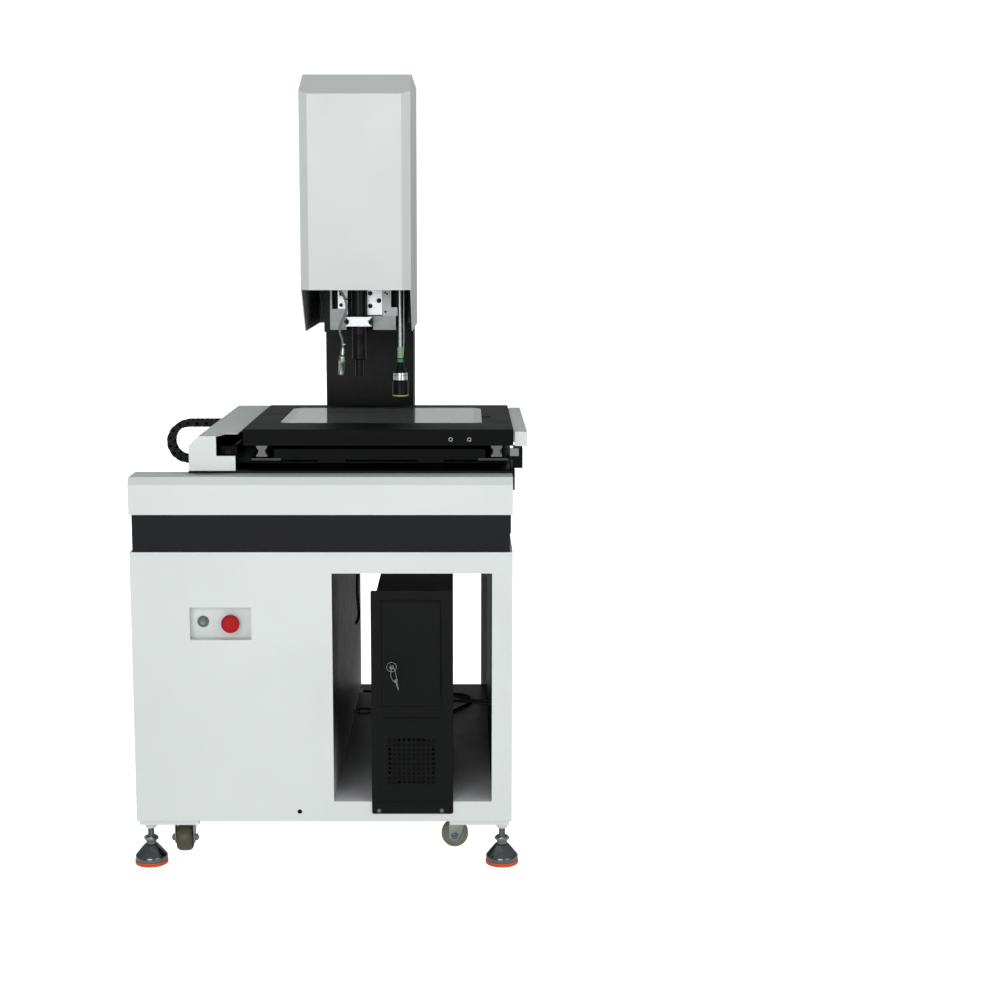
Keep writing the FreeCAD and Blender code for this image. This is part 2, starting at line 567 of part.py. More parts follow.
def make_stage():
    gx0, gx1 = glass_x - glass_wide / 2, glass_x + glass_wide / 2
    gy0, gy1 = glass_y - glass_deep / 2, glass_y + glass_deep / 2
    seat_z = plate_top - glass_thick
    c = glass_corner
    glass_pts = [(gx0 + c, gy0), (gx1 - c, gy0), (gx1, gy0 + c), (gx1, gy1 - c), (gx1 - c, gy1),
                 (gx0 + c, gy1), (gx0, gy1 - c), (gx0, gy0 + c)]
    seat = block(gx0 - fit_gap, gx1 + fit_gap, gy0 - fit_gap, gy1 + fit_gap, seat_z, plate_top + 1)
    window = block(gx0 + glass_ledge, gx1 - glass_ledge, gy0 + glass_ledge, gy1 - glass_ledge,
                   plate_z0 - 1, plate_top)
    body = block(plate_x0, plate_x1, plate_y0, plate_y1, plate_z0, plate_top)
    edges = [e for e in body.Edges if all(abs(v.Z - plate_top) < 0.01 for v in e.Vertexes)]
    body = body.makeChamfer(1.0, edges)
    holes = []
    for sx in (-0.5, 0.5):
        x = insert_x + sx * insert_pitch
        holes.append(rod(insert_r, x, plate_y0 - 1, insert_z, insert_long + 1, (0, 1, 0)))
        sleeve = rod(insert_r, x, plate_y0, insert_z, insert_long, (0, 1, 0))
        bore = rod(insert_hole_r, x, plate_y0 - 1, insert_z, insert_long + 2, (0, 1, 0))
        add("stage_plate", sleeve.cut(bore))
    half_finger = finger_wide / 2
    finger = block(gx1, gx1 + finger_x, finger_y - half_finger, finger_y + half_finger,
                   plate_top - finger_deep, plate_top + 1)
    add("stage_plate", cut(body, seat, window, finger, *holes))
    add("stage_glass", prism_z(glass_pts, seat_z, plate_top))
    panel_z = plate_z0 + backlight_rise
    lip = glass_ledge
    add("backlight_panel", block(gx0 + lip, gx1 - lip, gy0 + lip, gy1 - lip, panel_z,
                                 panel_z + backlight_thick))
    cx0, cx1 = plate_x1 + scale_gap, plate_x1 + scale_gap + scale_wide
    cy0, cy1 = plate_y0 + scale_start, plate_y1
    cz0, cz1 = plate_z0 - 2.0, plate_top - scale_drop
    shell = block(cx0, cx1, cy0, cy1, cz0, cz1)
    hollow = block(cx0 - 1, cx1 - sheet, cy0 + sheet, cy1 - sheet, cz0 - 1, cz1 - sheet)
    spacer = block(plate_x1, cx0 + 4.0, cy0 + 18.0, cy1 - 18.0, plate_z0 + 4.0, cz1)
    add("y_scale_cover", join(shell.cut(hollow), spacer))


def make_y_drive():
    front_y, rear_y = saddle_y0 + 10.0, saddle_y1 - 20.0
    half_block = 18.0
    for y in (front_y, rear_y):
        housing = block(y_axis_x - half_block, y_axis_x + half_block, y, y + 20.0, web_z, y_axis_z + 12.0)
        bore = rod(y_screw_r + shaft_gap, y_axis_x, y - 1, y_axis_z, 22.0, (0, 1, 0))
        add("y_drive_unit", housing.cut(bore))
    motor_y = saddle_y1 + 34.0
    side = y_motor_side / 2
    bridge = block(y_axis_x - side, y_axis_x + side, saddle_y1, motor_y, y_axis_z - side, y_axis_z + side)
    pocket = block(y_axis_x - side + 4.0, y_axis_x + side - 4.0, saddle_y1 - 1, motor_y + 1,
                   y_axis_z - side + 4.0, y_axis_z + side - 4.0)
    add("y_drive_unit", bridge.cut(pocket))
    motor = motor_body(y_motor_side, y_motor_long, y_axis_x, motor_y + y_motor_long, y_axis_z, (0, -1, 0))
    add("y_drive_unit", motor)
    spindle = rod(y_screw_r, y_axis_x, front_y - 8.0, y_axis_z, saddle_y1 - front_y + 12.0, (0, 1, 0))
    add("y_screw", join(spindle, rod(12.0, y_axis_x, saddle_y1 + 3.0, y_axis_z, 30.5, (0, 1, 0))))
    nut_y = plate_y0 + 260.0
    ny0, ny1 = nut_y - 14.0, nut_y + 14.0
    arm_z0, arm_z1 = y_axis_z + 2.0, y_axis_z + 8.0
    nut = join(rod(y_nut_r, y_axis_x, nut_y - 18.0, y_axis_z, 36.0, (0, 1, 0)),
               block(y_axis_x, y_axis_x + 16.0, ny0, ny1, y_axis_z - 8.0, arm_z1),
               block(y_axis_x + 8.0, plate_x0, ny0, ny1, arm_z0, arm_z1),
               block(plate_x0 - 6.0, plate_x0, ny0, ny1, arm_z0, plate_z0 + 24.0))
    nut_bore = rod(y_screw_r + shaft_gap, y_axis_x, nut_y - 20.0, y_axis_z, 40.0, (0, 1, 0))
    add("stage_plate", nut.cut(nut_bore))
    x0, x1 = drive_cover_x0, drive_cover_x1
    y0, y1 = drive_cover_y0, drive_cover_y1
    low, high, c = web_z - bed_high + 2.0, drive_cover_top, cover_chamfer
    section = [(x0, low), (x0, high - c), (x0 + c, high), (x1, high), (x1, low)]
    inner = [(x0 + sheet, low - 1), (x0 + sheet, high - c - 1), (x0 + c + 1, high - sheet),
             (x1 + 1, high - sheet), (x1 + 1, low - 1)]
    shell = prism_y(section, y0, y1).cut(prism_y(inner, y0 + sheet, y1 - sheet))
    front_skirt = block(x0, x1, y0, y0 + sheet, granite_top + 2.0, low)
    notch = prism_z([(notch_x, y0 - 1), (x1 + 1, y0 - 1), (x1 + 1, y0 + notch_deep),
                     (notch_x + notch_lean, y0 + notch_deep), (notch_x, y0 + 3.0)], notch_z, high + 1)
    half_slot = chain_wide / 2 + 4.0
    chain_slot = block(x0 - 1, x0 + c, chain_y - half_slot, chain_y + half_slot,
                       low - 1, chain_top_z + chain_high / 2 + 2.0)
    add("y_drive_cover", cut(join(shell, front_skirt), notch, chain_slot))


def chain_link(x, z, angle, low_long, high_long):
    # one link: two side plates held apart by cross bars, mitred to its neighbours in a bend
    h, w = chain_high / 2, chain_wide / 2
    long = high_long
    link = prism_y([(-low_long / 2, -h), (low_long / 2, -h), (high_long / 2, h), (-high_long / 2, h)], -w, w)
    link = link.cut(block(-long, long, -w + chain_wall, w - chain_wall, -h + chain_wall, h - chain_wall))
    window = block(-long * 0.22, long * 0.22, -w + chain_wall, w - chain_wall, -h - 1, h + 1)
    link = link.cut(window)
    link.rotate(vec(0, 0, 0), vec(0, 1, 0), angle)
    link.translate(vec(x, chain_y, z))
    return link


def make_chain():
    low_z = chain_top_z - 2 * chain_r
    run = (chain_end_x - chain_x) / links_top
    for k in range(links_top):
        add("drag_chain", chain_link(chain_end_x - (k + 0.5) * run, chain_top_z, 0, run, run))
    step = 180.0 / links_arc
    slope = 2 * math.tan(math.radians(step / 2))
    mid_r = chain_r * math.cos(math.radians(step / 2))
    for k in range(links_arc):
        a = 90.0 + (k + 0.5) * step
        x = chain_x + mid_r * math.cos(math.radians(a))
        z = chain_top_z - chain_r + mid_r * math.sin(math.radians(a))
        add("drag_chain", chain_link(x, z, 90.0 - a, (mid_r - chain_high / 2) * slope,
                                    (mid_r + chain_high / 2) * slope))
    low_run = (chain_low_x - chain_x) / links_low
    for k in range(links_low):
        add("drag_chain", chain_link(chain_x + (k + 0.5) * low_run, low_z, 0, low_run, low_run))
    y0, y1 = chain_y - chain_wide / 2, chain_y + chain_wide / 2
    top_z, under_z = chain_top_z - chain_high / 2, low_z - chain_high / 2
    foot_z = under_z - chain_foot
    lower = join(block(chain_low_x, granite_x0, y0, y1, foot_z, under_z),
                 block(granite_x0 - chain_foot, granite_x0, y0, y1, foot_z, low_z + 20.0),
                 block(chain_low_x, chain_low_x + 4.0, y0, y1, foot_z, low_z + chain_high / 2))
    add("x_drive_unit", lower)
    bed_left = drive_cover_x0 + sheet
    upper = join(block(bed_left, chain_end_x + 8.0, y0, y1, top_z - 2.0, top_z),
                 block(bed_left, bed_left + 40.0, y0, y1, web_z, top_z),
                 block(chain_end_x, chain_end_x + 8.0, y0, y1, top_z, top_z + 12.0))
    add("saddle", upper)


def make_column():
    add("column", block(column_x0, column_x1, column_y, column_y + column_deep, granite_top, column_top))
    body = block(head_x0, head_x1, head_y, column_y, head_bottom, head_top)
    lighten = block(head_x0 + head_wall, head_x1 - head_wall, head_y + 2 * head_wall, column_y - head_wall,
                    head_bottom - 1, head_top + 1)
    add("head_block", body.cut(lighten))
    py0 = head_y - base_plate_thick
    add("z_base_plate", block(base_plate_x0, base_plate_x1, py0, head_y, base_plate_z0, base_plate_z1))
    for x in z_rail_x:
        sec = [(x + a, py0 - b) for a, b in rail_section(x_rail_wide, x_rail_high)]
        add("z_base_plate", prism_z(sec, z_rail_z0, z_rail_z1))
    # lower and upper screw bearings, motor bracket and motor
    cy = py0 - 14.0
    for z in (base_plate_z0 + 3.0, base_plate_z1 - 28.0):
        housing = block(z_axis_x - 18.0, z_axis_x + 18.0, cy - 13.0, py0, z, z + 20.0)
        add("z_drive_unit", housing.cut(rod(z_screw_r + shaft_gap, z_axis_x, cy, z - 1, 22.0)))
    side = motor_side / 2
    top = block(z_axis_x - side, z_axis_x + side, cy - side, head_y, base_plate_z1, base_plate_z1 + 8.0)
    add("z_drive_unit", top.cut(rod(14.0, z_axis_x, cy, base_plate_z1 - 1, 10.0)))
    motor_top = base_plate_z1 + 8.0 + motor_long
    add("z_drive_unit", motor_body(motor_side, motor_long, z_axis_x, cy, motor_top, (0, 0, -1)))
    spindle = rod(z_screw_r, z_axis_x, cy, base_plate_z0 + 5.0, base_plate_z1 - base_plate_z0 - 10.0)
    add("z_screw", join(spindle, rod(11.0, z_axis_x, cy, base_plate_z1 - 7.0, 14.5)))


def make_cover():
    x0, x1, b = cover_x0, cover_x1, cover_bevel
    y0, y1 = cover_front_y, cover_back_y

    def plan(inset, back):
        i = inset
        k = i * math.tan(math.radians(22.5))
        return [(x0 + b + k, y0 + i), (x1 - b - k, y0 + i), (x1 - i, y0 + b + k), (x1 - i, back),
                (x0 + i, back), (x0 + i, y0 + b + k)]

    side = [(y0, cover_face_z), (y0, cover_slope_z), (cover_slope_y, cover_peak_z), (y1, cover_peak_z),
            (y1, cover_side_z), (cover_skirt_y, cover_side_z), (y0 + b, cover_face_z)]
    low = [(y0 - 1, cover_side_z - 1), (y0 - 1, cover_slope_z - sheet - 0.4),
           (cover_slope_y + 0.4, cover_peak_z - sheet), (y1 + 1, cover_peak_z - sheet),
           (y1 + 1, cover_side_z - 1)]
    outer = prism_z(plan(0, y1), cover_side_z, cover_peak_z).common(prism_x(side, x0 - 1, x1 + 1))
    room = prism_z(plan(sheet, y1 + 1), cover_side_z - 2, cover_peak_z)
    inner = room.common(prism_x(low, x0 - 1, x1 + 1))
    back = block(x0 + sheet, x1 - sheet, y1 - sheet, y1, column_top + 0.5, cover_peak_z - sheet)
    slots = [block(x0 + louvre_rise, x1 - louvre_rise, y1 - sheet - 1, y1 + 1, z, z + 5.0)
             for z in [column_top + louvre_rise + 8.0 * k for k in range(7)]]
    flanges = [block(x0 + sheet, cover_flange_x[0], y1 - sheet, y1, cover_side_z, column_top + 1.0),
               block(cover_flange_x[1], x1 - sheet, y1 - sheet, y1, cover_side_z, column_top + 1.0)]
    add("z_cover", join(outer.cut(inner), back.cut(slots), *flanges))


def make_z_slide():
    py0 = head_y - base_plate_thick
    plate_y = py0 - carriage_high
    half_wide = z_carriage_wide / 2
    gap = x_rail_wide / 2 + fit_gap
    for x in z_rail_x:
        for z in z_carriage_z:
            body = block(x - half_wide, x + half_wide, plate_y, py0 - 3.0, z - 30.0, z + 30.0)
            room = block(x - gap, x + gap, py0 - x_rail_high - fit_gap, py0, z - 31.0, z + 31.0)
            add("z_carriages", body.cut(room))
    y0 = plate_y - z_plate_thick
    x0, x1 = base_plate_x0 + 14.0, base_plate_x1 - 12.0
    plate_low = z_plate_z0 + 22.0
    plate = block(x0, x1, y0, plate_y, plate_low, z_plate_z1)
    tongue = block(clamp_x0, clamp_x1, y0, plate_y, z_plate_z0, plate_low + 1.0)
    add("z_slide_plate", join(plate, tongue))
    cy = py0 - 14.0
    nut_z = (z_carriage_z[0] + z_carriage_z[1]) / 2
    nut = join(rod(z_nut_r, z_axis_x, cy, nut_z - 18.0, 36.0),
               block(z_axis_x - 14.0, z_axis_x + 14.0, plate_y, cy, nut_z - 14.0, nut_z + 14.0))
    add("z_carriages", nut.cut(rod(z_screw_r + shaft_gap, z_axis_x, cy, nut_z - 20.0, 40.0)))
    # side blocks beside the lens: two low blocks and an L block at the right
    front_y = y0 - side_block_deep
    add("slide_blocks", block(side_block_x0, clamp_x0, front_y, y0, side_block_z0,
                              side_block_z0 + side_block_high))
    add("slide_blocks", block(clamp_x1, ell_foot_x1 - 4.0, front_y, y0, side_block_z0, ell_z0))
    ell_top = ell_z0 + ell_foot_high
    add("slide_blocks", join(block(ell_x0, ell_x1, front_y, y0, ell_z0, ell_z0 + ell_high),
                             block(ell_x0, ell_foot_x1, front_y, y0, ell_z0, ell_top)))
    # arm that carries the side probe, screwed to the edge of the L block
    arm = (holder_z, holder_z + holder_high)
    wide = 2 * probe_rod_r
    holder = join(block(ell_x1, probe_x + wide, front_y, y0, *arm),
                  block(probe_x - wide, probe_x + wide, probe_y - wide, y0, *arm))
    bore = rod(probe_rod_r + shaft_gap, probe_x, probe_y, holder_z - 1, holder_high + 2)
    add("slide_blocks", holder.cut(bore))
    # lens clamp: block behind, bar in front, two screws
    bore = rod(lens_r, lens_x, lens_y, clamp_z0 - 1, clamp_z1 - clamp_z0 + 2)
    rear = block(clamp_x0, clamp_x1, lens_y, y0, clamp_z0, clamp_z1)
    add("lens_clamp", rear.cut(bore))
    mid, deep = (clamp_z0 + clamp_z1) / 2, clamp_tip
    bar_pts = [(clamp_x0, clamp_z0), (clamp_x1, clamp_z0), (clamp_x1 - deep, mid - 3.0),
               (clamp_x1 - deep, mid + 3.0), (clamp_x1, clamp_z1), (clamp_x0, clamp_z1),
               (clamp_x0 + deep, mid + 3.0), (clamp_x0 + deep, mid - 3.0)]
    bar_y = lens_y - lens_r - 4.0
    add("lens_clamp", prism_y(bar_pts, bar_y, lens_y).cut(bore))
    for x in (clamp_x0 + 3.5, clamp_x1 - 3.5):
        head = rod(4.0, x, bar_y + 8.0, mid, 6.0, (0, 1, 0))
        shank = rod(2.5, x, bar_y + 13.0, mid, lens_r - 9.0, (0, 1, 0))
        add("lens_clamp", join(head, shank))


def make_optics():
    r = lens_r
    z0 = lens_bottom
    shoulder = z0 + 41.0
    ring = z0 + 78.0
    tube_profile = [(9.0, z0), (9.8, z0 + 1.0), (9.8, shoulder - 3.0), (15.5, shoulder - 1.0),
                    (16.6, shoulder), (16.6, ring - 1.5), (15.9, ring - 1.0), (15.9, ring + 1.0),
                    (16.8, ring + 1.5), (16.8, clamp_z0 - 6.0), (r, clamp_z0 - 5.0), (r, lens_top - 30.0),
                    (15.0, lens_top - 28.0), (15.0, lens_top)]
    add("zoom_lens", turned(tube_profile, lens_x, lens_y))
    s = camera_side / 2
    cam = block(lens_x - s, lens_x + s, lens_y - s, lens_y + s, lens_top, lens_top + camera_long)
    edges = [e for e in cam.Edges if abs(e.Vertexes[0].Z - e.Vertexes[-1].Z) > 1]
    add("zoom_lens", cam.makeChamfer(2.5, edges))
    z = probe_bottom
    body = [(18.0, z), (19.0, z + 1.0), (19.0, z + 37.0), (17.0, z + 38.5), (17.0, z + 56.0),
            (14.0, z + 57.0), (7.5, z + 80.0), (7.0, z + 80.5), (7.0, z + 88.0), (6.0, z + 88.6),
            (6.0, z + 89.2), (6.8, z + 89.8), (6.8, z + 115.5), (probe_rod_r, z + 116.5),
            (probe_rod_r, z + 116.5 + probe_rod_long)]
    add("side_probe", turned(body, probe_x, probe_y))


def make_computer():
    z0, z1 = bay_floor_z, bay_floor_z + pc_high
    py = pc_panel_y + pc_panel_thick
    w = pc_wall
    # five flat sheets: floor, lid, two sides and a back with its openings
    add("pc_chassis", block(pc_x0, pc_x1, py, pc_deep, z0, z0 + w))
    add("pc_chassis", block(pc_x0, pc_x1, py, pc_deep, z1 - w, z1))
    add("pc_chassis", block(pc_x0, pc_x0 + w, py, pc_deep, z0 + w, z1 - w))
    add("pc_chassis", block(pc_x1 - w, pc_x1, py, pc_deep, z0 + w, z1 - w))
    back = block(pc_x0 + w, pc_x1 - w, pc_deep - w, pc_deep, z0 + w, z1 - w)
    rear_cuts = [block(pc_x0 + 20.0, pc_x0 + 65.0, pc_deep - w - 1, pc_deep + 1, z0 + 40.0, z0 + 190.0),
                 rod(38.0, pc_x1 - 55.0, pc_deep - w - 1, z0 + 90.0, w + 2, (0, 1, 0))]
    add("pc_chassis", cut(back, *rear_cuts))
    panel_top = pc_panel_z0 + pc_panel_high
    # four flat plates round the door: vents below, a rail above and a stile at each side
    low_plate = block(pc_panel_x0, pc_panel_x1, pc_panel_y, py, pc_panel_z0, door_z0)
    corners = [e for e in low_plate.Edges if abs(e.Vertexes[0].Y - e.Vertexes[-1].Y) > 1
               and e.Vertexes[0].Z < pc_panel_z0 + 1]
    low_plate = low_plate.makeFillet(pc_panel_corner, corners)
    top_plate = block(pc_panel_x0, pc_panel_x1, pc_panel_y, py, door_z1, panel_top)
    corners = [e for e in top_plate.Edges if abs(e.Vertexes[0].Y - e.Vertexes[-1].Y) > 1
               and e.Vertexes[0].Z > panel_top - 1]
    top_plate = top_plate.makeFillet(pc_panel_corner, corners)
    half_vent = (vent_count - 1) / 2
    holes = []
    for i in range(vent_count):
        for j in range(vent_count):
            x = vent_x + (i - half_vent) * vent_pitch
            z = vent_z + (j - half_vent) * vent_pitch
            a = vent_hole / 2
            holes.append(block(x - a, x + a, pc_panel_y - 1, py + 1, z - a, z + a))
    axis_x, axis_y = door_x1 - 1.8, pc_panel_y + door_thick / 2
    low_pin, top_pin = [rod(0.85, axis_x, axis_y, z, 5.0) for z in (door_z0 - 4.5, door_z1 - 0.5)]
    ear_holes = [rod(ear_screw_r + shaft_gap, x, pc_panel_y - 1, ear_screw_z, 5.0, (0, 1, 0))
                 for x in ear_screw_x]
    add("pc_front_panel", cut(low_plate, low_pin, *holes, *ear_holes))
    add("pc_front_panel", cut(top_plate, top_pin))
    add("pc_front_panel", block(pc_panel_x0, door_x0, pc_panel_y, py, door_z0, door_z1))
    add("pc_front_panel", block(door_x1, pc_panel_x1, pc_panel_y, py, door_z0, door_z1))
    leaf = block(door_x0 + door_gap, axis_x, pc_panel_y, pc_panel_y + door_thick, door_z0 + door_gap,
                 door_z1 - door_gap)
    barrel = rod(door_thick / 2, axis_x, axis_y, door_z0 + door_gap, door_z1 - door_z0 - 2 * door_gap)
    pins = rod(0.8, axis_x, axis_y, door_z0 - 3.5, door_z1 - door_z0 + 7.0)
    lock_hole = rod(8.5, lock_x, pc_panel_y - 1, lock_z, 5.0, (0, 1, 0))
    add("pc_door", cut(join(leaf, barrel, pins), lock_hole))
    ring = turned_y([(9.5, 0), (11.5, 1.2), (11.5, 3.0)], lock_x, pc_panel_y - 3.0, lock_z)
    barrel_lock = rod(8.45, lock_x, pc_panel_y, lock_z, lock_deep - 0.6, (0, 1, 0))
    plug_hole = rod(5.0 + shaft_gap, lock_x, pc_panel_y - 4.0, lock_z, 30.0, (0, 1, 0))
    add("pc_door", cut(join(ring, barrel_lock), plug_hole))
    plug_end = pc_panel_y + lock_deep
    add("lock_plug", rod(5.0, lock_x, pc_panel_y - 3.4, lock_z, lock_deep + 3.4, (0, 1, 0)))
    # the cam hangs down while unlocked; its cranked tip turns in behind the edge of the front panel
    tip_z = lock_z - (lock_x - door_x0) - 8.0
    add("lock_plug", block(lock_x - 5.0, lock_x + 5.0, plug_end, plug_end + 2.0, tip_z, lock_z + 5.0))
    add("lock_plug", block(lock_x - 5.0, lock_x + 5.0, py + cam_gap, plug_end, tip_z, tip_z + 4.0))
    bow = block(lock_x - 1.0, lock_x + 1.0, pc_panel_y - key_proud, pc_panel_y - 3.4, lock_z - 6.0,
                lock_z + 6.0)
    bow = bow.cut(rod(2.0, lock_x - 2.0, pc_panel_y - 20.0, lock_z - 2.0, 4.0, (1, 0, 0)))
    add("lock_plug", bow)
    add("pc_chassis", fan_shape(pc_panel_x0 + 87.0, py, vent_z))
    for x in ear_screw_x:
        head = rod(4.5, x, pc_panel_y - 2.5, ear_screw_z, 2.5, (0, 1, 0))
        shank = rod(ear_screw_r, x, pc_panel_y, ear_screw_z, sheet - pc_panel_y, (0, 1, 0))
        add("pc_front_panel", join(head, shank))


def fan_shape(x, y, z):
    a = 60.0
    frame = block(x - a, x + a, y, y + 25.0, z - a, z + a).cut(rod(a - 3.0, x, y - 1, z, 27.0, (0, 1, 0)))
    struts = [block(x - a + 1, x + a - 1, y + 21.0, y + 25.0, z - 3.0, z + 3.0),
              block(x - 3.0, x + 3.0, y + 21.0, y + 25.0, z - a + 1, z + a - 1)]
    return join(frame, *struts, rod(20.0, x, y + 5.0, z, 20.0, (0, 1, 0)))


def make_electrics():
    back_y = 720.0
    z0 = ring_low_top + sheet
    add("electrics", block(-390.0, -40.0, back_y, back_y + sheet, z0, 620.0))
    for k in range(3):
        x = -375.0 + 62.0 * k
        add("electrics", block(x, x + 48.0, back_y - 110.0, back_y, 400.0, 560.0))
    add("electrics", block(-180.0, -65.0, back_y - 50.0, back_y, 400.0, 600.0))
    add("electrics", block(-375.0, -75.0, back_y - 35.0, back_y, 240.0, 248.0))
    for k in range(6):
        x = -365.0 + 30.0 * k
        add("electrics", block(x, x + 22.0, back_y - 60.0, back_y, 248.5, 330.0))


# Free cords: straight runs joined by arcs as large as the runs allow
def cord_tube(points, radius):
    pts = [vec(*p) for p in points]
    runs = [(b - a).Length for a, b in zip(pts, pts[1:])]
    edges = []
    start = pts[0]
    total = 0.0
    radii = []
    for i in range(1, len(pts) - 1):
        u = (pts[i] - pts[i - 1]).normalize()
        v = (pts[i + 1] - pts[i]).normalize()
        turn = u.getAngle(v)
        back = 0.45 * min(runs[i - 1], runs[i])
        r = back / math.tan(turn / 2)
        radii.append(round(r, 1))
        a, c = pts[i] - u * back, pts[i] + v * back
        bis = (v - u).normalize()
        centre = pts[i] + bis * (r / math.cos(turn / 2))
        mid = centre - bis * r
        edges.append(Part.LineSegment(start, a).toShape())
        edges.append(Part.Arc(a, mid, c).toShape())
        total += (a - start).Length + r * turn
        start = c
    edges.append(Part.LineSegment(start, pts[-1]).toShape())
    total += (pts[-1] - start).Length
    path = Part.Wire(edges)
    ring = Part.Wire(Part.makeCircle(radius, pts[0], (pts[1] - pts[0])))
    tube_shape = path.makePipeShell([ring], True, False)
    want = math.pi * radius ** 2 * total
    print("cord", round(total, 1), "mm, radii", min(radii), "to", max(radii),
          "volume over section times length", round(tube_shape.Volume / want, 4))
    return tube_shape


bay_cord_r = 3.5
plug_end_y = pc_deep + 46.0
floor_cord_z = bay_floor_z + bay_cord_r + 0.4
bay_steps = [(230, 0, 236), (230, 26, 236), (233, 56, 226), (238, 84, 203), (243, 116, 182),
             (250, 154, 168), (262, 204, floor_cord_z), (284, 256, floor_cord_z), (312, 304, floor_cord_z),
             (330, 352, floor_cord_z), (318, 396, floor_cord_z), (276, 420, floor_cord_z),
             (226, 416, floor_cord_z), (176, 400, floor_cord_z), (126, 394, floor_cord_z),
             (92, 384, 167), (62, 380, 180), (bay_left + 14.0, 380, 180)]
bay_route = [(x, plug_end_y + step, z) for x, step, z in bay_steps]


def make_bay_cord():
    add("bay_cord", cord_tube(bay_route, bay_cord_r))
    x, y, z = bay_route[0]
    plug = join(block(x - 11.0, x + 11.0, pc_deep, y - 18.0, z - 8.0, z + 8.0),
                rod(5.5, x, y - 18.0, z, 18.0, (0, 1, 0)))
    add("cord_plug", plug)
    gx, gy, gz = bay_route[-1]
    add("inner_panels", join(rod(9.0, bay_left, gy, gz, 5.0, (1, 0, 0)),
                           rod(6.5, bay_left, gy, gz, gx - bay_left, (1, 0, 0))))


head_cord_r = 2.6
head_route = [(10, 432, 1292), (10, 432, 1270), (22, 426, 1248), (33, 423, 1224), (29, 424, 1200),
              (18, 425, 1180), (13.5, 425, 1160), (22, 426, 1140), (22, 426, 1122)]


def make_head_cable():
    add("head_cable", cord_tube(head_route, head_cord_r))
    x, y, z = head_route[-1]
    connector = turned([(5.5, -66.0), (6.5, -64.0), (6.5, -40.0), (7.5, -38.0), (7.5, -22.0), (4.5, -18.0),
                        (4.5, -6.0), (3.2, 0.0)], x, y, z)
    add("cable_connector", connector)
    hx, hy, hz = head_route[0]
    py0 = head_y - base_plate_thick
    y0 = py0 - carriage_high - z_plate_thick
    add("slide_blocks", block(hx - 6.0, hx + 6.0, hy - 6.0, y0, hz, hz + 10.0))


for make in (make_frame, make_panels, make_buttons, make_feet, make_casters, make_fascia, make_granite,
             make_x_drive, make_saddle, make_stage, make_y_drive, make_chain, make_column, make_cover,
             make_z_slide, make_optics, make_computer, make_electrics, make_bay_cord, make_head_cable):
    make()

os.makedirs("parts", exist_ok=True)
for node, solids in parts.items():
    shape = solids[0] if len(solids) == 1 else Part.makeCompound(solids)
    shape.translate(vec(-origin_x, -origin_y, 0))
    shape.exportStep("parts/" + node + ".step")
print(len(parts), "nodes")
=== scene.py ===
import json
import math

import bmesh
import bpy
from mathutils import Matrix, Vector


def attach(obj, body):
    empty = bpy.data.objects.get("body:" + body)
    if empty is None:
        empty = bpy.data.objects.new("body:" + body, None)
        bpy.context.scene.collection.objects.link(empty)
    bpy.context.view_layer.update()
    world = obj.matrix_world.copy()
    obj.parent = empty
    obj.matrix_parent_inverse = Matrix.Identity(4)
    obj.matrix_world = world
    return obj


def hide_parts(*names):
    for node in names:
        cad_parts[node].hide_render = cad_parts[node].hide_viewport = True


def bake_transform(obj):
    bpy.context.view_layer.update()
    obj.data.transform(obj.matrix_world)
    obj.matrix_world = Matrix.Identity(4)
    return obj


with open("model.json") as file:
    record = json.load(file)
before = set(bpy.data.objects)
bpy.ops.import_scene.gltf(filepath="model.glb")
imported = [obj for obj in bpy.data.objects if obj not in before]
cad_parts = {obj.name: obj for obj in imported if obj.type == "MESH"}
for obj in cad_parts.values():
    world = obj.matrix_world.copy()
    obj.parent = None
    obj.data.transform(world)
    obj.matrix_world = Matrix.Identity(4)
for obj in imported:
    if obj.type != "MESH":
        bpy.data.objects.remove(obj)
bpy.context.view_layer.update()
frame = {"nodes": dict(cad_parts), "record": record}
bodyOf = {n: b for b, members in frame["record"]["behaviour"]["bodies"].items() for n in members}

# The machine is drawn in millimetres from the middle of the cabinet front on the floor.
machine = {"middleX": 7.75, "middleY": 501.5, "mmPerMetre": 1000.0}


def spot(x, y, z):
    sides = (x - machine["middleX"], y - machine["middleY"], z)
    return Vector([side / machine["mmPerMetre"] for side in sides])


toScene = Matrix.Translation(spot(0, 0, 0)) @ Matrix.Scale(1 / machine["mmPerMetre"], 4)


# camera, light and floor: lens and place are worked out from the vanishing points of the photograph
viewpoint = {"place": (310, -3754, 1383), "pitchDown": 8.45, "lens": 64.2, "shiftX": 0.034}
studio = {"horizon": 0.2, "zenith": 0.42, "key": 92, "fill": 22, "top": 13, "floor": "#fbfbfb", "glow": 0.3,
          "strip": 0.42, "paper": 0.8, "aim": (0, 300, 900)}


def addObject(name, data):
    made = bpy.data.objects.new(name, data)
    bpy.context.scene.collection.objects.link(made)
    return made


def meshOf(name, form):
    mesh = bpy.data.meshes.new(name)
    form.to_mesh(mesh)
    form.free()
    return mesh


def setCamera():
    data = bpy.data.cameras.new("viewpoint")
    data.lens = viewpoint["lens"]
    data.sensor_width = 36
    data.shift_x = viewpoint["shiftX"]
    camera = addObject("viewpoint", data)
    camera.location = spot(*viewpoint["place"])
    camera.rotation_euler = (math.radians(90 - viewpoint["pitchDown"]), 0, 0)
    bpy.context.scene.camera = camera


def linear(hexColour):
    parts = [int(hexColour[i:i + 2], 16) / 255 for i in (1, 3, 5)]
    return tuple([c / 12.92 if c <= 0.04045 else ((c + 0.055) / 1.055) ** 2.4 for c in parts] + [1.0])


def perMetre(millimetres):
    return machine["mmPerMetre"] / millimetres  # the scale that gives a pattern of this size


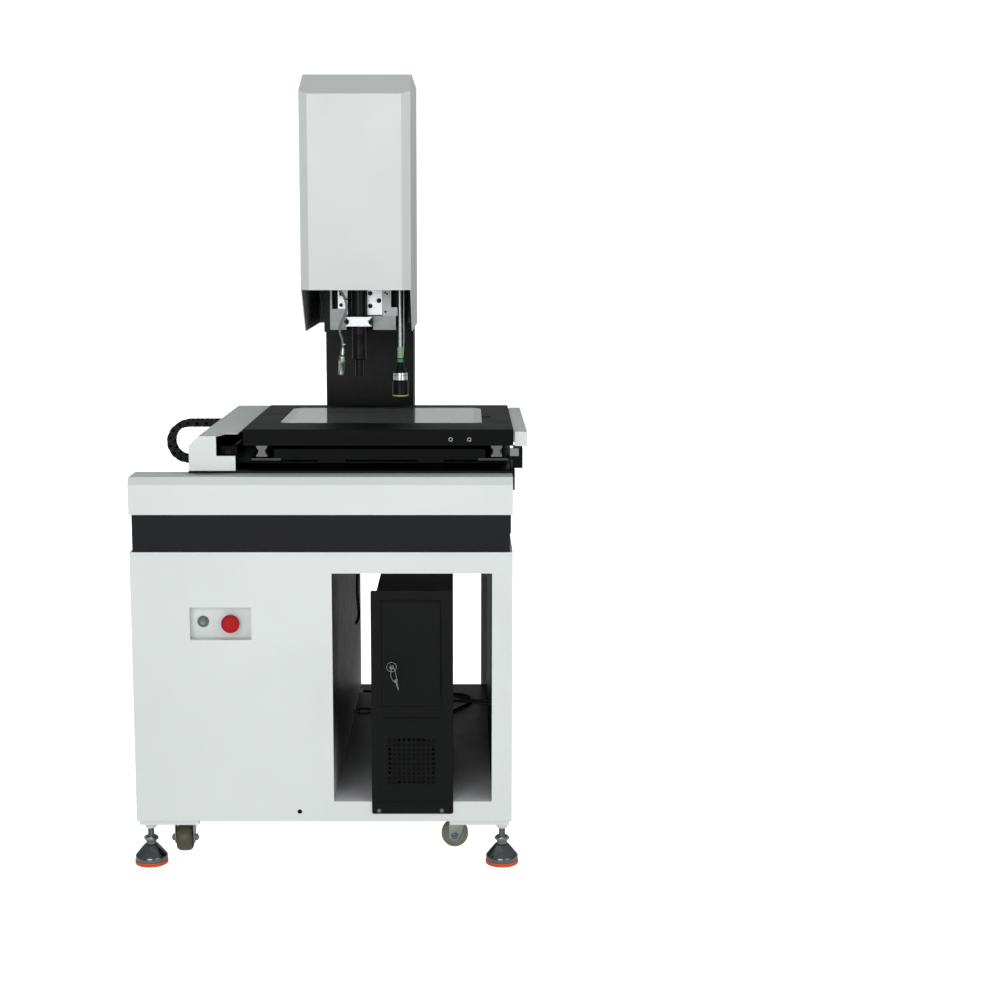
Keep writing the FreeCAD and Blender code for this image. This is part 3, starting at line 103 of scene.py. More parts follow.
def put(tree, kind, links=None, **settings):
    made = tree.nodes.new("ShaderNode" + kind)
    for key, value in settings.items():
        setattr(made, key, value)
    for key, value in (links or {}).items():
        if isinstance(value, bpy.types.Node):
            value = value.outputs[0]  # a node stands for its first output
        if isinstance(value, bpy.types.NodeSocket):
            tree.links.new(value, made.inputs[key])
        else:
            made.inputs[key].default_value = value
    return made


def startFinish(name):
    material = bpy.data.materials.new(name)
    material.use_nodes = True
    tree = material.node_tree
    tree.nodes.clear()
    return material, tree, put(tree, "TexCoord").outputs["Object"]


def showFinish(material, settings):
    tree = material.node_tree
    put(tree, "OutputMaterial", {"Surface": put(tree, "BsdfPrincipled", settings)})
    return material


def setLight():
    world = bpy.data.worlds.new("studio room")
    world.use_nodes = True
    tree = world.node_tree
    tree.nodes.clear()
    place = put(tree, "SeparateXYZ", {0: put(tree, "TexCoord").outputs["Generated"]})
    rise = put(tree, "MapRange", {"Value": place.outputs["Z"], "From Max": 0.9, "To Min": studio["horizon"],
                                  "To Max": studio["zenith"]})
    # a low strip behind the machine, which the glass of the stage shows
    low = put(tree, "MapRange", {"Value": place.outputs["Z"], "From Min": 0.04, "From Max": 0.07})
    high = put(tree, "MapRange", {"Value": place.outputs["Z"], "From Min": 0.16, "From Max": 0.13})
    behind = put(tree, "MapRange", {"Value": place.outputs["Y"], "From Min": 0.8, "From Max": 0.9})
    band = put(tree, "Math", {0: low, 1: high}, operation="MULTIPLY")
    strip = put(tree, "Math", {0: band, 1: behind}, operation="MULTIPLY")
    bright = put(tree, "Math", {0: strip, 1: studio["strip"], 2: rise}, operation="MULTIPLY_ADD")
    room = put(tree, "Background", {"Color": linear("#f4f6f6"), "Strength": bright})
    white = put(tree, "Background", {"Color": (1, 1, 1, 1), "Strength": 1.15})
    seen = put(tree, "LightPath").outputs["Is Camera Ray"]
    both = put(tree, "MixShader", {0: seen, 1: room, 2: white})
    put(tree, "OutputWorld", {"Surface": both})
    bpy.context.scene.world = world
    bpy.context.scene.view_settings.view_transform = "Standard"  # so that white paint shows white
    lamps = {
        "keyLight": ((-700, -4600, 1900), 2.6, studio["key"]),
        "fillLight": ((2600, -2600, 1500), 2.2, studio["fill"]),
        "topLight": ((0, 300, 4200), 2.5, studio["top"]),
    }
    for name, (place, side, power) in lamps.items():
        data = bpy.data.lights.new(name, "AREA")
        data.shape = "SQUARE"
        data.size = side
        data.energy = power
        lamp = addObject(name, data)
        lamp.location = spot(*place)
        lamp.rotation_euler = (spot(*studio["aim"]) - spot(*place)).to_track_quat("-Z", "Y").to_euler()


def setFloor():
    form = bmesh.new()
    bmesh.ops.create_grid(form, x_segments=1, y_segments=1, size=14)
    mesh = meshOf("paleFloor", form)
    floor = addObject("paleFloor", mesh)
    material, tree, _ = startFinish("matt white studio floor")
    paper = put(tree, "BsdfDiffuse", {"Color": linear(studio["floor"])})
    seen = put(tree, "LightPath").outputs["Is Camera Ray"]  # white paper, as in the photograph
    lift = put(tree, "Math", {0: seen, 1: studio["paper"], 2: studio["glow"]}, operation="MULTIPLY_ADD")
    glow = put(tree, "Emission", {"Color": (1, 1, 1, 1), "Strength": lift})
    put(tree, "OutputMaterial", {"Surface": put(tree, "AddShader", {0: paper, 1: glow})})
    mesh.materials.append(material)


setCamera()
setLight()
setFloor()
print("camera, light and floor")


# ways to grow a piece, all in machine millimetres
def along(axis, height, across, up):
    return Vector({"x": (height, across, up), "y": (across, height, up), "z": (across, up, height)}[axis])


def ringRadius(entry, angle):
    if len(entry) == 2:
        return entry[0]
    share = math.tau / entry[2]  # a third number asks for flats: 6 for a hexagon
    return entry[0] / math.cos(angle % share - share / 2)


def growTurned(form, profile, centre, axis="z", part=0, sides=36):
    # profile lists (radius, height) along the axis
    rings = []
    for entry in profile:
        count = sides if entry[0] > 0.01 else 1
        rings.append([])
        for k in range(count):
            angle = math.tau * k / sides
            r = ringRadius(entry, angle)
            rings[-1].append(form.verts.new(Vector(centre) + along(axis, entry[1], r * math.cos(angle),
                                                                   r * math.sin(angle))))
    made = []
    for low, high in zip(rings, rings[1:]):
        for k in range(sides):
            corners = [low[k % len(low)], low[(k + 1) % len(low)], high[(k + 1) % len(high)],
                       high[k % len(high)]]
            made.append(form.faces.new([c for i, c in enumerate(corners) if c not in corners[:i]]))
    made += [form.faces.new(ring) for ring in (rings[0], rings[-1]) if len(ring) > 2]
    for face in made:
        face.material_index = part


def growPrism(form, shape, start, end, axis, part=0, bevel=0.5, steps=1):
    # shape is the outline seen along the axis
    low = [form.verts.new(along(axis, start, *p)) for p in shape]
    high = [form.verts.new(along(axis, end, *p)) for p in shape]
    made = [form.faces.new(low), form.faces.new(high)]
    for k in range(len(shape)):
        n = (k + 1) % len(shape)
        made.append(form.faces.new((low[k], low[n], high[n], high[k])))
    for face in made:
        face.material_index = part
    if bevel:
        bmesh.ops.recalc_face_normals(form, faces=made)
        edges = list(dict.fromkeys(edge for face in made for edge in face.edges))  # in a fixed order
        bmesh.ops.bevel(form, geom=edges, offset=bevel, segments=steps, affect="EDGES", profile=0.5)


def growBlock(form, x0, x1, y0, y1, z0, z1, part=0, bevel=0.5, steps=1):
    growPrism(form, [(x0, y0), (x1, y0), (x1, y1), (x0, y1)], z0, z1, "z", part, bevel, steps)


def growCapScrew(form, place, radius, high, part=0, axis="y", out=-1):
    # socket head: chamfered rim and a hexagon socket
    rim, key = radius * 0.1, radius * 0.48
    growTurned(form, [(radius, 0), (radius, out * (high - rim)), (radius - rim, out * high),
                      (key, out * high, 6), (key, out * high * 0.45, 6), (0, out * high * 0.4)], place, axis,
                      part)


def softened(route, rounds):
    points = [Vector(p) for p in route]
    for _ in range(rounds):
        cut = [points[0]]
        for a, b in zip(points, points[1:]):
            cut += [a.lerp(b, 0.25), a.lerp(b, 0.75)]
        points = cut + [points[-1]]
    return points


def growTube(form, route, radius, part=0, sides=12, rounds=3):
    points = softened(route, rounds)
    side = (points[1] - points[0]).orthogonal().normalized()
    rings = []
    for k, point in enumerate(points):
        ahead = (points[min(k + 1, len(points) - 1)] - points[max(k - 1, 0)]).normalized()
        side = (side - ahead * side.dot(ahead)).normalized()
        over = ahead.cross(side)
        rings.append([form.verts.new(point + radius * (side * math.cos(math.tau * i / sides)
                                                       + over * math.sin(math.tau * i / sides)))
                      for i in range(sides)])
    made = [form.faces.new(rings[0]), form.faces.new(rings[-1])]
    for low, high in zip(rings, rings[1:]):
        made += [form.faces.new((low[i], low[(i + 1) % sides], high[(i + 1) % sides], high[i]))
                 for i in range(sides)]
    for face in made:
        face.material_index = part


def growRing(form, centre, radius, wire, axis, part=0, sides=28):
    # a closed ring of round wire
    rings = []
    for k in range(sides):
        a = math.tau * k / sides
        rings.append([])
        for i in range(10):
            b = math.tau * i / 10
            reach = radius + wire * math.cos(b)
            rings[-1].append(form.verts.new(Vector(centre) + along(axis, wire * math.sin(b),
                                                                   reach * math.cos(a), reach * math.sin(a))))
    for k, low in enumerate(rings):
        high = rings[(k + 1) % sides]
        for i in range(10):
            form.faces.new((low[i], low[(i + 1) % 10], high[(i + 1) % 10], high[i])).material_index = part


def rounded(x0, x1, z0, z1, r, steps=4):
    # outline of a plate with round corners
    corners = ((x1 - r, z0 + r, -90), (x1 - r, z1 - r, 0), (x0 + r, z1 - r, 90), (x0 + r, z0 + r, 180))
    turns = [(x, z, math.radians(a + 90 * k / steps)) for x, z, a in corners for k in range(steps + 1)]
    return [(x + r * math.cos(turn), z + r * math.sin(turn)) for x, z, turn in turns]


def addTo(whole, form, place):
    # puts a finished form into a larger one
    form.transform(place)
    mesh = meshOf("passing", form)
    whole.from_mesh(mesh)
    bpy.data.meshes.remove(mesh)


def placeForm(name, form, kinds, body=None, *nodes, sharp=32):
    bmesh.ops.recalc_face_normals(form, faces=form.faces)
    for edge in form.edges:
        edge.smooth = len(edge.link_faces) == 2 and edge.calc_face_angle(0) < math.radians(sharp)
    for face in form.faces:
        face.smooth = True
    mesh = meshOf(name, form)
    mesh.transform(toScene)
    for kind in kinds:
        mesh.materials.append(finish[kind])
    piece = addObject(name, mesh)
    if body:
        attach(piece, body)
    if nodes:
        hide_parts(*nodes)
    return piece


# finishes
def powderCoatedSteel(name, base, worn, rough):
    # sprayed and baked powder: an even white with a low sheen and a faint orange peel
    material, tree, place = startFinish(name)
    drift = put(tree, "TexNoise", {"Vector": place, "Scale": perMetre(260), "Detail": 3.0})
    peel = put(tree, "TexNoise", {"Vector": place, "Scale": perMetre(3.2), "Detail": 2.0})  # 1 mm when real
    colour = put(tree, "MixRGB", {"Fac": drift, "Color1": linear(base), "Color2": linear(worn)})
    gloss = put(tree, "MapRange", {"Value": drift, "To Min": rough - 0.06, "To Max": rough + 0.08})
    edge = put(tree, "Bevel", {"Radius": 0.0012}, samples=4)
    relief = put(tree, "Bump", {"Height": peel, "Distance": 0.00006, "Strength": 0.5, "Normal": edge})
    return showFinish(material, {"Base Color": colour, "Roughness": gloss, "Normal": relief, "IOR": 1.5})


def blackEnamel(name, base, scuffed, rough, index=1.24):
    # sprayed enamel on sheet: deep black, soft highlights and thin dry scuffs
    material, tree, place = startFinish(name)
    drift = put(tree, "TexNoise", {"Vector": place, "Scale": perMetre(150), "Detail": 4.0})
    stretch = put(tree, "Mapping", {"Vector": place, "Scale": (perMetre(55), perMetre(55), perMetre(1.4))})
    scratch = put(tree, "TexNoise", {"Vector": stretch, "Scale": 1.0, "Detail": 3.0})
    rare = put(tree, "MapRange", {"Value": scratch, "From Min": 0.66, "From Max": 0.74})
    both = put(tree, "Math", {0: rare, 1: drift}, operation="MULTIPLY")
    colour = put(tree, "MixRGB", {"Fac": both, "Color1": linear(base), "Color2": linear(scuffed)})
    gloss = put(tree, "MapRange", {"Value": drift, "To Min": rough - 0.05, "To Max": rough + 0.1})
    edge = put(tree, "Bevel", {"Radius": 0.0008}, samples=4)
    relief = put(tree, "Bump", {"Height": drift, "Distance": 0.0002, "Strength": 0.3, "Normal": edge})
    return showFinish(material, {"Base Color": colour, "Roughness": gloss, "Normal": relief, "IOR": index})


def enamelWithPaintedLight(name, litColour, depth, axis, start, end, rough, index):
    # enamel of the bay with painted light and shade: pale near the mouth, as painted light and painted
    # reflection where the room's light reaches in, dark further in as painted shade; a soft noise breaks up
    # the pale zone
    material, tree, place = startFinish(name)
    split = put(tree, "SeparateXYZ", {0: place})
    away = put(tree, "MapRange", {"Value": split.outputs[axis], "From Min": end, "From Max": start})
    near = put(tree, "Math", {0: away, 1: 2.4}, operation="POWER")
    cloud = put(tree, "TexNoise", {"Vector": place, "Scale": perMetre(45), "Detail": 4.0})
    patch = put(tree, "MapRange", {"Value": cloud, "To Min": 0.82, "To Max": 1.0})
    share = put(tree, "Math", {0: near, 1: patch}, operation="MULTIPLY")
    colour = put(tree, "MixRGB", {"Fac": share, "Color1": linear(depth), "Color2": linear(litColour)})
    gloss = put(tree, "MapRange", {"Value": cloud, "To Min": rough - 0.05, "To Max": rough + 0.1})
    return showFinish(material, {"Base Color": colour, "Roughness": gloss, "IOR": index})


def blackGranite(name, ground, crystal, rough):
    # fine gabbro, ground flat and honed: near black with small grey crystals
    material, tree, place = startFinish(name)
    cells = put(tree, "TexVoronoi", {"Vector": place, "Scale": perMetre(3.5)})  # 1 to 2 mm when real
    fine = put(tree, "TexNoise", {"Vector": place, "Scale": perMetre(9), "Detail": 5.0})
    tint = put(tree, "MapRange", {"Value": cells.outputs["Color"], "From Min": 0.35, "From Max": 1.0})
    share = put(tree, "Math", {0: tint, 1: fine}, operation="MULTIPLY")
    colour = put(tree, "MixRGB", {"Fac": share, "Color1": linear(ground), "Color2": linear(crystal)})
    gloss = put(tree, "MapRange", {"Value": cells, "To Min": rough - 0.04, "To Max": rough + 0.12})
    edge = put(tree, "Bevel", {"Radius": 0.0008}, samples=4)
    return showFinish(material, {"Base Color": colour, "Roughness": gloss, "Normal": edge, "IOR": 1.25})


def blackAnodised(name, base, rubbed, rough, metal, index=1.3):
    # milled, blasted and dyed black: satin, with edges rubbed a little lighter
    material, tree, place = startFinish(name)
    blast = put(tree, "TexNoise", {"Vector": place, "Scale": perMetre(1.6), "Detail": 2.0})  # grit of 0.1 mm
    drift = put(tree, "TexNoise", {"Vector": place, "Scale": perMetre(70), "Detail": 4.0})
    edge = put(tree, "Bevel", {"Radius": 0.0009}, samples=4)
    flat = put(tree, "NewGeometry")
    turn = put(tree, "VectorMath", {0: edge, 1: flat.outputs["Normal"]}, operation="DOT_PRODUCT")
    rub = put(tree, "MapRange", {"Value": turn.outputs["Value"], "From Min": 0.995, "From Max": 0.9,
                                 "To Max": 0.6})
    colour = put(tree, "MixRGB", {"Fac": rub, "Color1": linear(base), "Color2": linear(rubbed)})
    gloss = put(tree, "MapRange", {"Value": drift, "To Min": rough - 0.06, "To Max": rough + 0.1})
    relief = put(tree, "Bump", {"Height": blast, "Distance": 0.00003, "Strength": 0.5, "Normal": edge})
    return showFinish(material, {"Base Color": colour, "Metallic": metal, "Roughness": gloss,
                                 "Normal": relief, "IOR": index})


def bareMetal(name, base, shade, lay, rough, drawn=0.6):
    # lay is the size of the tool marks in mm along x, y and z
    material, tree, place = startFinish(name)
    stretch = put(tree, "Mapping", {"Vector": place, "Scale": tuple(perMetre(s) for s in lay)})
    marks = put(tree, "TexNoise", {"Vector": stretch, "Scale": 1.0, "Detail": 4.0})
    drift = put(tree, "TexNoise", {"Vector": place, "Scale": perMetre(30), "Detail": 3.0})
    colour = put(tree, "MixRGB", {"Fac": drift, "Color1": linear(base), "Color2": linear(shade)})
    gloss = put(tree, "MapRange", {"Value": marks, "To Min": rough * 0.75, "To Max": rough * 1.35})
    edge = put(tree, "Bevel", {"Radius": 0.0006}, samples=4)
    relief = put(tree, "Bump", {"Height": marks, "Distance": 0.00002, "Strength": drawn, "Normal": edge})
    return showFinish(material, {"Base Color": colour, "Metallic": 1.0, "Roughness": gloss, "Normal": relief})


def mouldedPlastic(name, base, shade, rough=0.45, grain=2.2, depth=0.00004, index=1.5):
    # spark-eroded mould: an even fine grain that breaks up the highlight
    material, tree, place = startFinish(name)
    texture = put(tree, "TexNoise", {"Vector": place, "Scale": perMetre(grain), "Detail": 3.0})
    drift = put(tree, "TexNoise", {"Vector": place, "Scale": perMetre(40), "Detail": 2.0})
    colour = put(tree, "MixRGB", {"Fac": drift, "Color1": linear(base), "Color2": linear(shade)})
    gloss = put(tree, "MapRange", {"Value": drift, "To Min": rough - 0.06, "To Max": rough + 0.08})
    relief = put(tree, "Bump", {"Height": texture, "Distance": depth, "Strength": 0.6})
    return showFinish(material, {"Base Color": colour, "Roughness": gloss, "Normal": relief, "IOR": index})


def floatGlass(name, base, rough):
    # drawn flat and polished: clear from above, green where one looks along it
    material, tree, place = startFinish(name)
    smear = put(tree, "TexNoise", {"Vector": place, "Scale": perMetre(90), "Detail": 3.0})
    gloss = put(tree, "MapRange", {"Value": smear, "To Min": rough, "To Max": rough + 0.05})
    return showFinish(material, {"Base Color": linear(base), "Roughness": gloss, "Transmission Weight": 0.92,
                                 "IOR": 1.52})


finish = {
    "white": powderCoatedSteel("powder coated sheet steel", "#dfe4e2", "#d2d7d5", 0.42),
    "blackPaint": blackEnamel("sprayed black enamel", "#15161a", "#26272a", 0.42),
    "bayBlack": blackEnamel("black enamel of the bay", "#101113", "#1b1c1e", 0.45, 1.06),
    # bay wall: painted reflection of the floor, pale at the bottom and dark higher up
    "bayWallPaintedReflection": enamelWithPaintedLight("satin enamel of the bay wall", "#ececec", "#0e0f10", "Z", 0.15, 0.42, 0.4, 1.07),
    # bay floor: painted light, pale at the front edge and dark towards the back
    "bayFloorPaintedLight": enamelWithPaintedLight("satin enamel of the bay floor, painted light at the front", "#f3f3f6", "#1b1c1e", "Y", -0.5, 0.06, 0.4, 1.2),
    # inside of the cover: a grey darker than the outer white, as painted shade
    "coverInsidePaintedShade": blackEnamel("grey inside of the cover, painted shade", "#868889", "#8e9091", 0.5, 1.24),
    "computerPaint": blackEnamel("textured black computer paint", "#0b0c0d", "#131415", 0.5, 1.22),
    "granite": blackGranite("honed black granite", "#060708", "#131416", 0.36),
    "black": blackAnodised("black anodised aluminium", "#08090a", "#1b1c1e", 0.42, 0.08, 1.16),
    "lensBlack": blackAnodised("fine black anodised lens barrel", "#1a1a1c", "#303132", 0.3, 0.6),
    "ground": bareMetal("ground bearing steel", "#b9bbba", "#9a9d9c", (90, 90, 1.0), 0.24),
    "zinc": bareMetal("bright zinc plated steel", "#a4a7a4", "#7d827f", (3, 3, 3), 0.3, 0.25),
    "chrome": bareMetal("chrome plated brass", "#c9cccc", "#b4b8b8", (25, 25, 25), 0.1, 0.1),
    "orange": mouldedPlastic("orange moulded rubber", "#d9531e", "#c2481a", 0.55),
    "nylonDark": mouldedPlastic("cast nylon, olive brown", "#4c4835", "#3f3b2c", 0.42),
    "nylonPale": mouldedPlastic("cast nylon, pale olive", "#7c7d6c", "#6e6f5f", 0.42),
    "plastic": mouldedPlastic("black moulded polyamide", "#0c0c0d", "#141415", 0.42, index=1.25),
    "red": mouldedPlastic("red moulded acrylonitrile styrene", "#b61a20", "#a8161c", 0.4, index=1.22),
    "jacket": mouldedPlastic("black cable jacket of soft vinyl", "#0d0d0d", "#151515", 0.5, index=1.28),
    "paleJacket": mouldedPlastic("pale grey green lead of soft vinyl", "#a3b1a2", "#97a596", 0.5),
    "greyJacket": mouldedPlastic("grey cable jacket of soft vinyl", "#7f8280", "#6f7270", 0.5),
    "opal": mouldedPlastic("opal acrylic sheet", "#c9cdcb", "#bfc3c1", 0.3),
    "smoked": mouldedPlastic("smoked acrylic sheet over the lamps", "#17191a", "#1d1f20", 0.35, index=1.2),
    "glass": floatGlass("polished float glass", "#f1f7f4", 0.02),
    "glassEdge": mouldedPlastic("ground edge of float glass", "#bcd6c8", "#a9c7b8", 0.3),
    "coatedGlass": blackAnodised("coated front lens", "#0c1016", "#141a24", 0.05, 0.0),
    "satin": bareMetal("bright clear anodised plate", "#c9cccc", "#b9bdbd", (60, 60, 1.2), 0.42),
    "chromate": bareMetal("zinc plated nut and stud", "#8f938e", "#6f746f", (3, 3, 3), 0.34, 0.25),
    "nickel": bareMetal("nickel plated connector shell", "#b2bdb5", "#96a299", (6, 6, 6), 0.24, 0.3),
    "brass": bareMetal("nickel plated brass key", "#8d8f90", "#7c7e80", (25, 25, 1.2), 0.34, 0.2),
    "buttonSilver": bareMetal("sand blasted steel button", "#7b807e", "#6c716f", (1.2, 1.2, 1.2), 0.45, 1.0),
    "buttonRing": bareMetal("turned steel button ring", "#6d7270", "#5a5f5d", (25, 25, 25), 0.26, 0.2),
    "railEnd": bareMetal("ground end of a rail", "#6f7171", "#5d5f5f", (2, 2, 0.6), 0.5, 0.8),
    "blackChrome": bareMetal("black chromed bearing steel", "#242527", "#1a1b1c", (90, 90, 1.0), 0.4),
    "greyAluminium": bareMetal("grey milled aluminium", "#808383", "#707373", (60, 60, 1.2), 0.42),
    "paleAluminium": bareMetal("pale milled aluminium", "#8f9292", "#7f8282", (60, 60, 1.2), 0.42),
    "blued": bareMetal("blued steel strip", "#484a4b", "#3a3c3d", (60, 60, 1.2), 0.45),
    "spun": bareMetal("spun zinc plated steel", "#7c8080", "#5c6060", (60, 60, 0.8), 0.2, 0.5),
    "mint": mouldedPlastic("pale green heat shrink sleeve", "#94bb8c", "#86ad7f", 0.4),
    "teal": mouldedPlastic("teal anodised ring", "#2e9c86", "#278a76", 0.3),
    "darkTeal": mouldedPlastic("dark tinted lacquer in the lock ring", "#1d3331", "#182b29", 0.3, index=1.3),
    "lime": mouldedPlastic("yellow green ring", "#b3c95a", "#a4ba4e", 0.35),
}
print(len(finish), "finishes")


# the steel, granite and moving parts as they come from the frame
plain = {
    "cabinet_frame": "bayBlack", "top_deck": "white", "front_panel": "white", "side_panels": "white",
    "rear_panel": "white", "foot_pads": "orange", "foot_stems": "zinc", "corner_plates": "white",
    "fascia_band": "blackPaint", "front_cover": "white", "granite_base": "granite", "x_rails": "blackChrome",
    "x_drive_unit": "black", "column": "granite", "head_block": "blackPaint", "z_base_plate": "black",
    "z_drive_unit": "black", "z_cover": "white", "pc_chassis": "computerPaint",
    "pc_front_panel": "computerPaint", "electrics": "zinc", "cord_plug": "plastic", "drag_chain": "plastic",
    "saddle": "black", "saddle_guides": "ground", "scale_reader": "greyAluminium", "y_drive_unit": "black",
    "y_drive_cover": "white", "stage_plate": "black", "y_rails": "railEnd", "stage_glass": "glass",
    "backlight_panel": "smoked", "y_scale_cover": "white", "z_carriages": "ground", "z_slide_plate": "black",
    "slide_blocks": "paleAluminium", "lens_clamp": "satin", "zoom_lens": "lensBlack",
    "side_probe": "lensBlack", "cable_connector": "zinc", "x_screw": "ground", "y_screw": "ground",
    "z_screw": "ground", "start_button": "chrome", "button_bodies": "buttonRing", "estop_stem": "plastic",
    "estop_head": "red", "pc_door": "computerPaint", "lock_plug": "chrome", "inner_panels": "white",
}
for corner in ("front_left", "front_right", "rear_left", "rear_right"):
    plain["caster_fork_" + corner] = "zinc"
    plain["caster_wheel_" + corner] = "nylonPale" if corner == "front_right" else "nylonDark"
for node, kind in plain.items():
    shown = frame["nodes"][node]
    shown.data.materials.clear()
    shown.data.materials.append(finish[kind])


def dressed(node, rule, *kinds):
    # a copy of the node whose faces take their finish from where they are, in machine mm
    mesh = frame["nodes"][node].data.copy()
    mesh.materials.clear()
    for kind in kinds:
        mesh.materials.append(finish[kind])
    home = spot(0, 0, 0)
    for face in mesh.polygons:
        middle = (face.center - home) * machine["mmPerMetre"]
        face.material_index = kinds.index(rule(middle.x, middle.y, middle.z, face.normal))
    piece = addObject(node + "_dressed", mesh)
    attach(piece, bodyOf[node])
    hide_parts(node)


# where one finish ends and the next begins on a node
border = {"floorTop": 161, "floorLeft": 20, "wallRight": 60, "coverHeart": (57.5, 640, 1460),
          "stripLow": 899, "stripHigh": 905.1, "stripLeft": -90, "stripRight": 336, "readerFront": 90,
          "insertX": (277, 317), "insertZ": 948, "insertFront": 75, "clampX": (31, 87), "clampZ": 1182.5,
          "screwFront": 130, "caseX": (120.5, 257.5), "caseZ": 141, "caseFront": -3.2, "blockX": 113,
          "blockZ": 1193}


def offCentre(x, z, columns, row):
    return min(math.hypot(x - column, z - row) for column in columns)


# the floor faces and the left wall take the finishes with painted light and painted reflection; the rest is
# black enamel
def bayLining(x, y, z, normal):
    if z < border["floorTop"] and x > border["floorLeft"]:
        return "bayFloorPaintedLight"
    return "bayWallPaintedReflection" if x < border["wallRight"] else "bayBlack"


# faces turned inward take the grey of painted shade, faces turned outward the white
def coverInsideShadeRule(x, y, z, normal):
    outward = (Vector((x, y, z)) - Vector(border["coverHeart"])).dot(normal)
    return "white" if outward > 0 else "coverInsidePaintedShade"


def guideBlock(x, y, z, normal):
    strip = border["stripLow"] < z < border["stripHigh"]
    return "blued" if strip and not border["stripLeft"] < x < border["stripRight"] else "plastic"


def reader(x, y, z, normal):
    return "greyAluminium" if y < border["readerFront"] else "black"


def stageMetal(x, y, z, normal):
    off = offCentre(x, z, border["insertX"], border["insertZ"])
    sleeve = y < border["insertFront"] and 2.6 < off < 4.6 and normal.y < -0.5
    return "chrome" if sleeve else "black"


def glassSheet(x, y, z, normal):
    return "glass" if abs(normal.z) > 0.5 else "glassEdge"


def clampBar(x, y, z, normal):
    return "plastic" if offCentre(x, z, border["clampX"], border["clampZ"]) < 4.1 else "satin"


def screwEnd(x, y, z, normal):
    return "blackChrome" if y < border["screwFront"] else "ground"


def earScrew(x, y, z, normal):
    head = y < border["caseFront"] and offCentre(x, z, border["caseX"], border["caseZ"]) < 4.7
    return "spun" if head else "computerPaint"


def sideBlock(x, y, z, normal):
    return "paleAluminium" if z > border["blockZ"] and x > border["blockX"] else "greyAluminium"


dressed("inner_panels", bayLining, "bayBlack", "bayFloorPaintedLight", "bayWallPaintedReflection")
dressed("z_cover", coverInsideShadeRule, "white", "coverInsidePaintedShade")
dressed("saddle_guides", guideBlock, "blued", "plastic")
dressed("scale_reader", reader, "greyAluminium", "black")
dressed("stage_plate", stageMetal, "black", "chrome")
dressed("stage_glass", glassSheet, "glass", "glassEdge")
dressed("y_screw", screwEnd, "ground", "blackChrome")
dressed("pc_front_panel", earScrew, "computerPaint", "spun")
dressed("lens_clamp", clampBar, "satin", "plastic")
dressed("slide_blocks", sideBlock, "greyAluminium", "paleAluminium")
print("frame finished")


# levelling feet
foot = {"x": 390, "y": (60, 970), "padTop": 9, "rim": 20, "coneTop": 44, "neckTop": 53, "nutTop": 62,
        "studTop": 82, "studEnd": 112, "bell": 35.5, "cone": 15, "neck": 11.2, "flats": 14, "stud": 7.2,
        "pitch": 2.0, "boss": ((7.6, 81.4), (10.2, 81.4), (11.2, 82.2), (13, 86), (13, 96))}


def makeFeet():
    form = bmesh.new()
    bell, cone, neck, stud, flat = (foot[key] for key in ("bell", "cone", "neck", "stud", "flats"))
    low, high, pitch = foot["neckTop"], foot["nutTop"], foot["pitch"]
    skirt = [(bell - 0.6, foot["padTop"]), (bell, foot["padTop"] + 0.6), (bell, foot["rim"] - 1.2),
             (bell - 1.0, foot["rim"] + 0.4), (cone + 0.8, foot["coneTop"] - 1.0),
             (cone - 0.6, foot["coneTop"]), (neck, foot["coneTop"] + 0.3), (neck, low)]
    nut = [(flat - 0.6, low), (flat, low + 1.6, 6), (flat, high - 1.6, 6), (flat - 0.6, high)]
    thread = [(stud, high - 1)]
    for k in range(int((foot["studTop"] - high) / pitch)):
        at = high + k * pitch
        thread += [(stud, at + 0.25 * pitch), (stud - 0.9, at + 0.75 * pitch)]
    thread += [(stud, foot["studTop"]), (stud, foot["studEnd"])]
    for x in (-foot["x"], foot["x"]):
        for y in foot["y"]:
            growTurned(form, skirt, (x, y, 0), sides=64)
            growTurned(form, nut, (x, y, 0), part=1, sides=48)
            growTurned(form, thread, (x, y, 0), part=1)
            growTurned(form, foot["boss"], (x, y, 0), part=2, sides=48)
    placeForm("foot_bells", form, ("spun", "chromate", "white"), "base", "foot_stems")


# caster wheels
caster = {"x": 315, "y": (98, 932), "trail": 30, "axle": 56, "radius": 30, "half": 17,
          "turn": {"front_left": -90, "front_right": 180, "rear_left": 118, "rear_right": 65}}


def casterPlace(k, turn):
    # the swivel axis of a caster, turned as in the photograph
    x, y = (-1, 1)[k % 2] * caster["x"], caster["y"][k // 2]
    return Matrix.Translation((x, y, 0)) @ Matrix.Rotation(math.radians(turn), 4, "Z")


def makeWheels():
    r, w = caster["radius"], caster["half"]
    side = [(0, w - 2.5), (6.0, w - 2.5), (6.4, w + 0.8), (10.5, w + 0.8), (11.5, w), (12.2, w - 3.0),
            (20.5, w - 4.0), (22.0, w - 3.4), (22.6, w - 0.6), (23.4, w), (r - 5.2, w - 0.3),
            (r - 3.0, w - 2.2), (r - 1.0, w - 5.6), (r - 0.2, w - 9.5), (r, w - 13.0)]
    profile = [(a, -b) for a, b in side] + [(a, b) for a, b in reversed(side)]
    for k, (name, turn) in enumerate(caster["turn"].items()):
        form = bmesh.new()
        growTurned(form, profile, (caster["trail"], 0, caster["axle"]), "y", sides=72)
        form.transform(casterPlace(k, turn))
        kind = "nylonPale" if name == "front_right" else "nylonDark"
        placeForm("wheel_" + name + "_tread", form, (kind,), "wheel_" + name, "caster_wheel_" + name)


# pressed forks with their axle bolts
fork = {"inner": 19, "outer": 22, "top": 94.5, "front": 43, "rear": -13, "toe": 11.5}


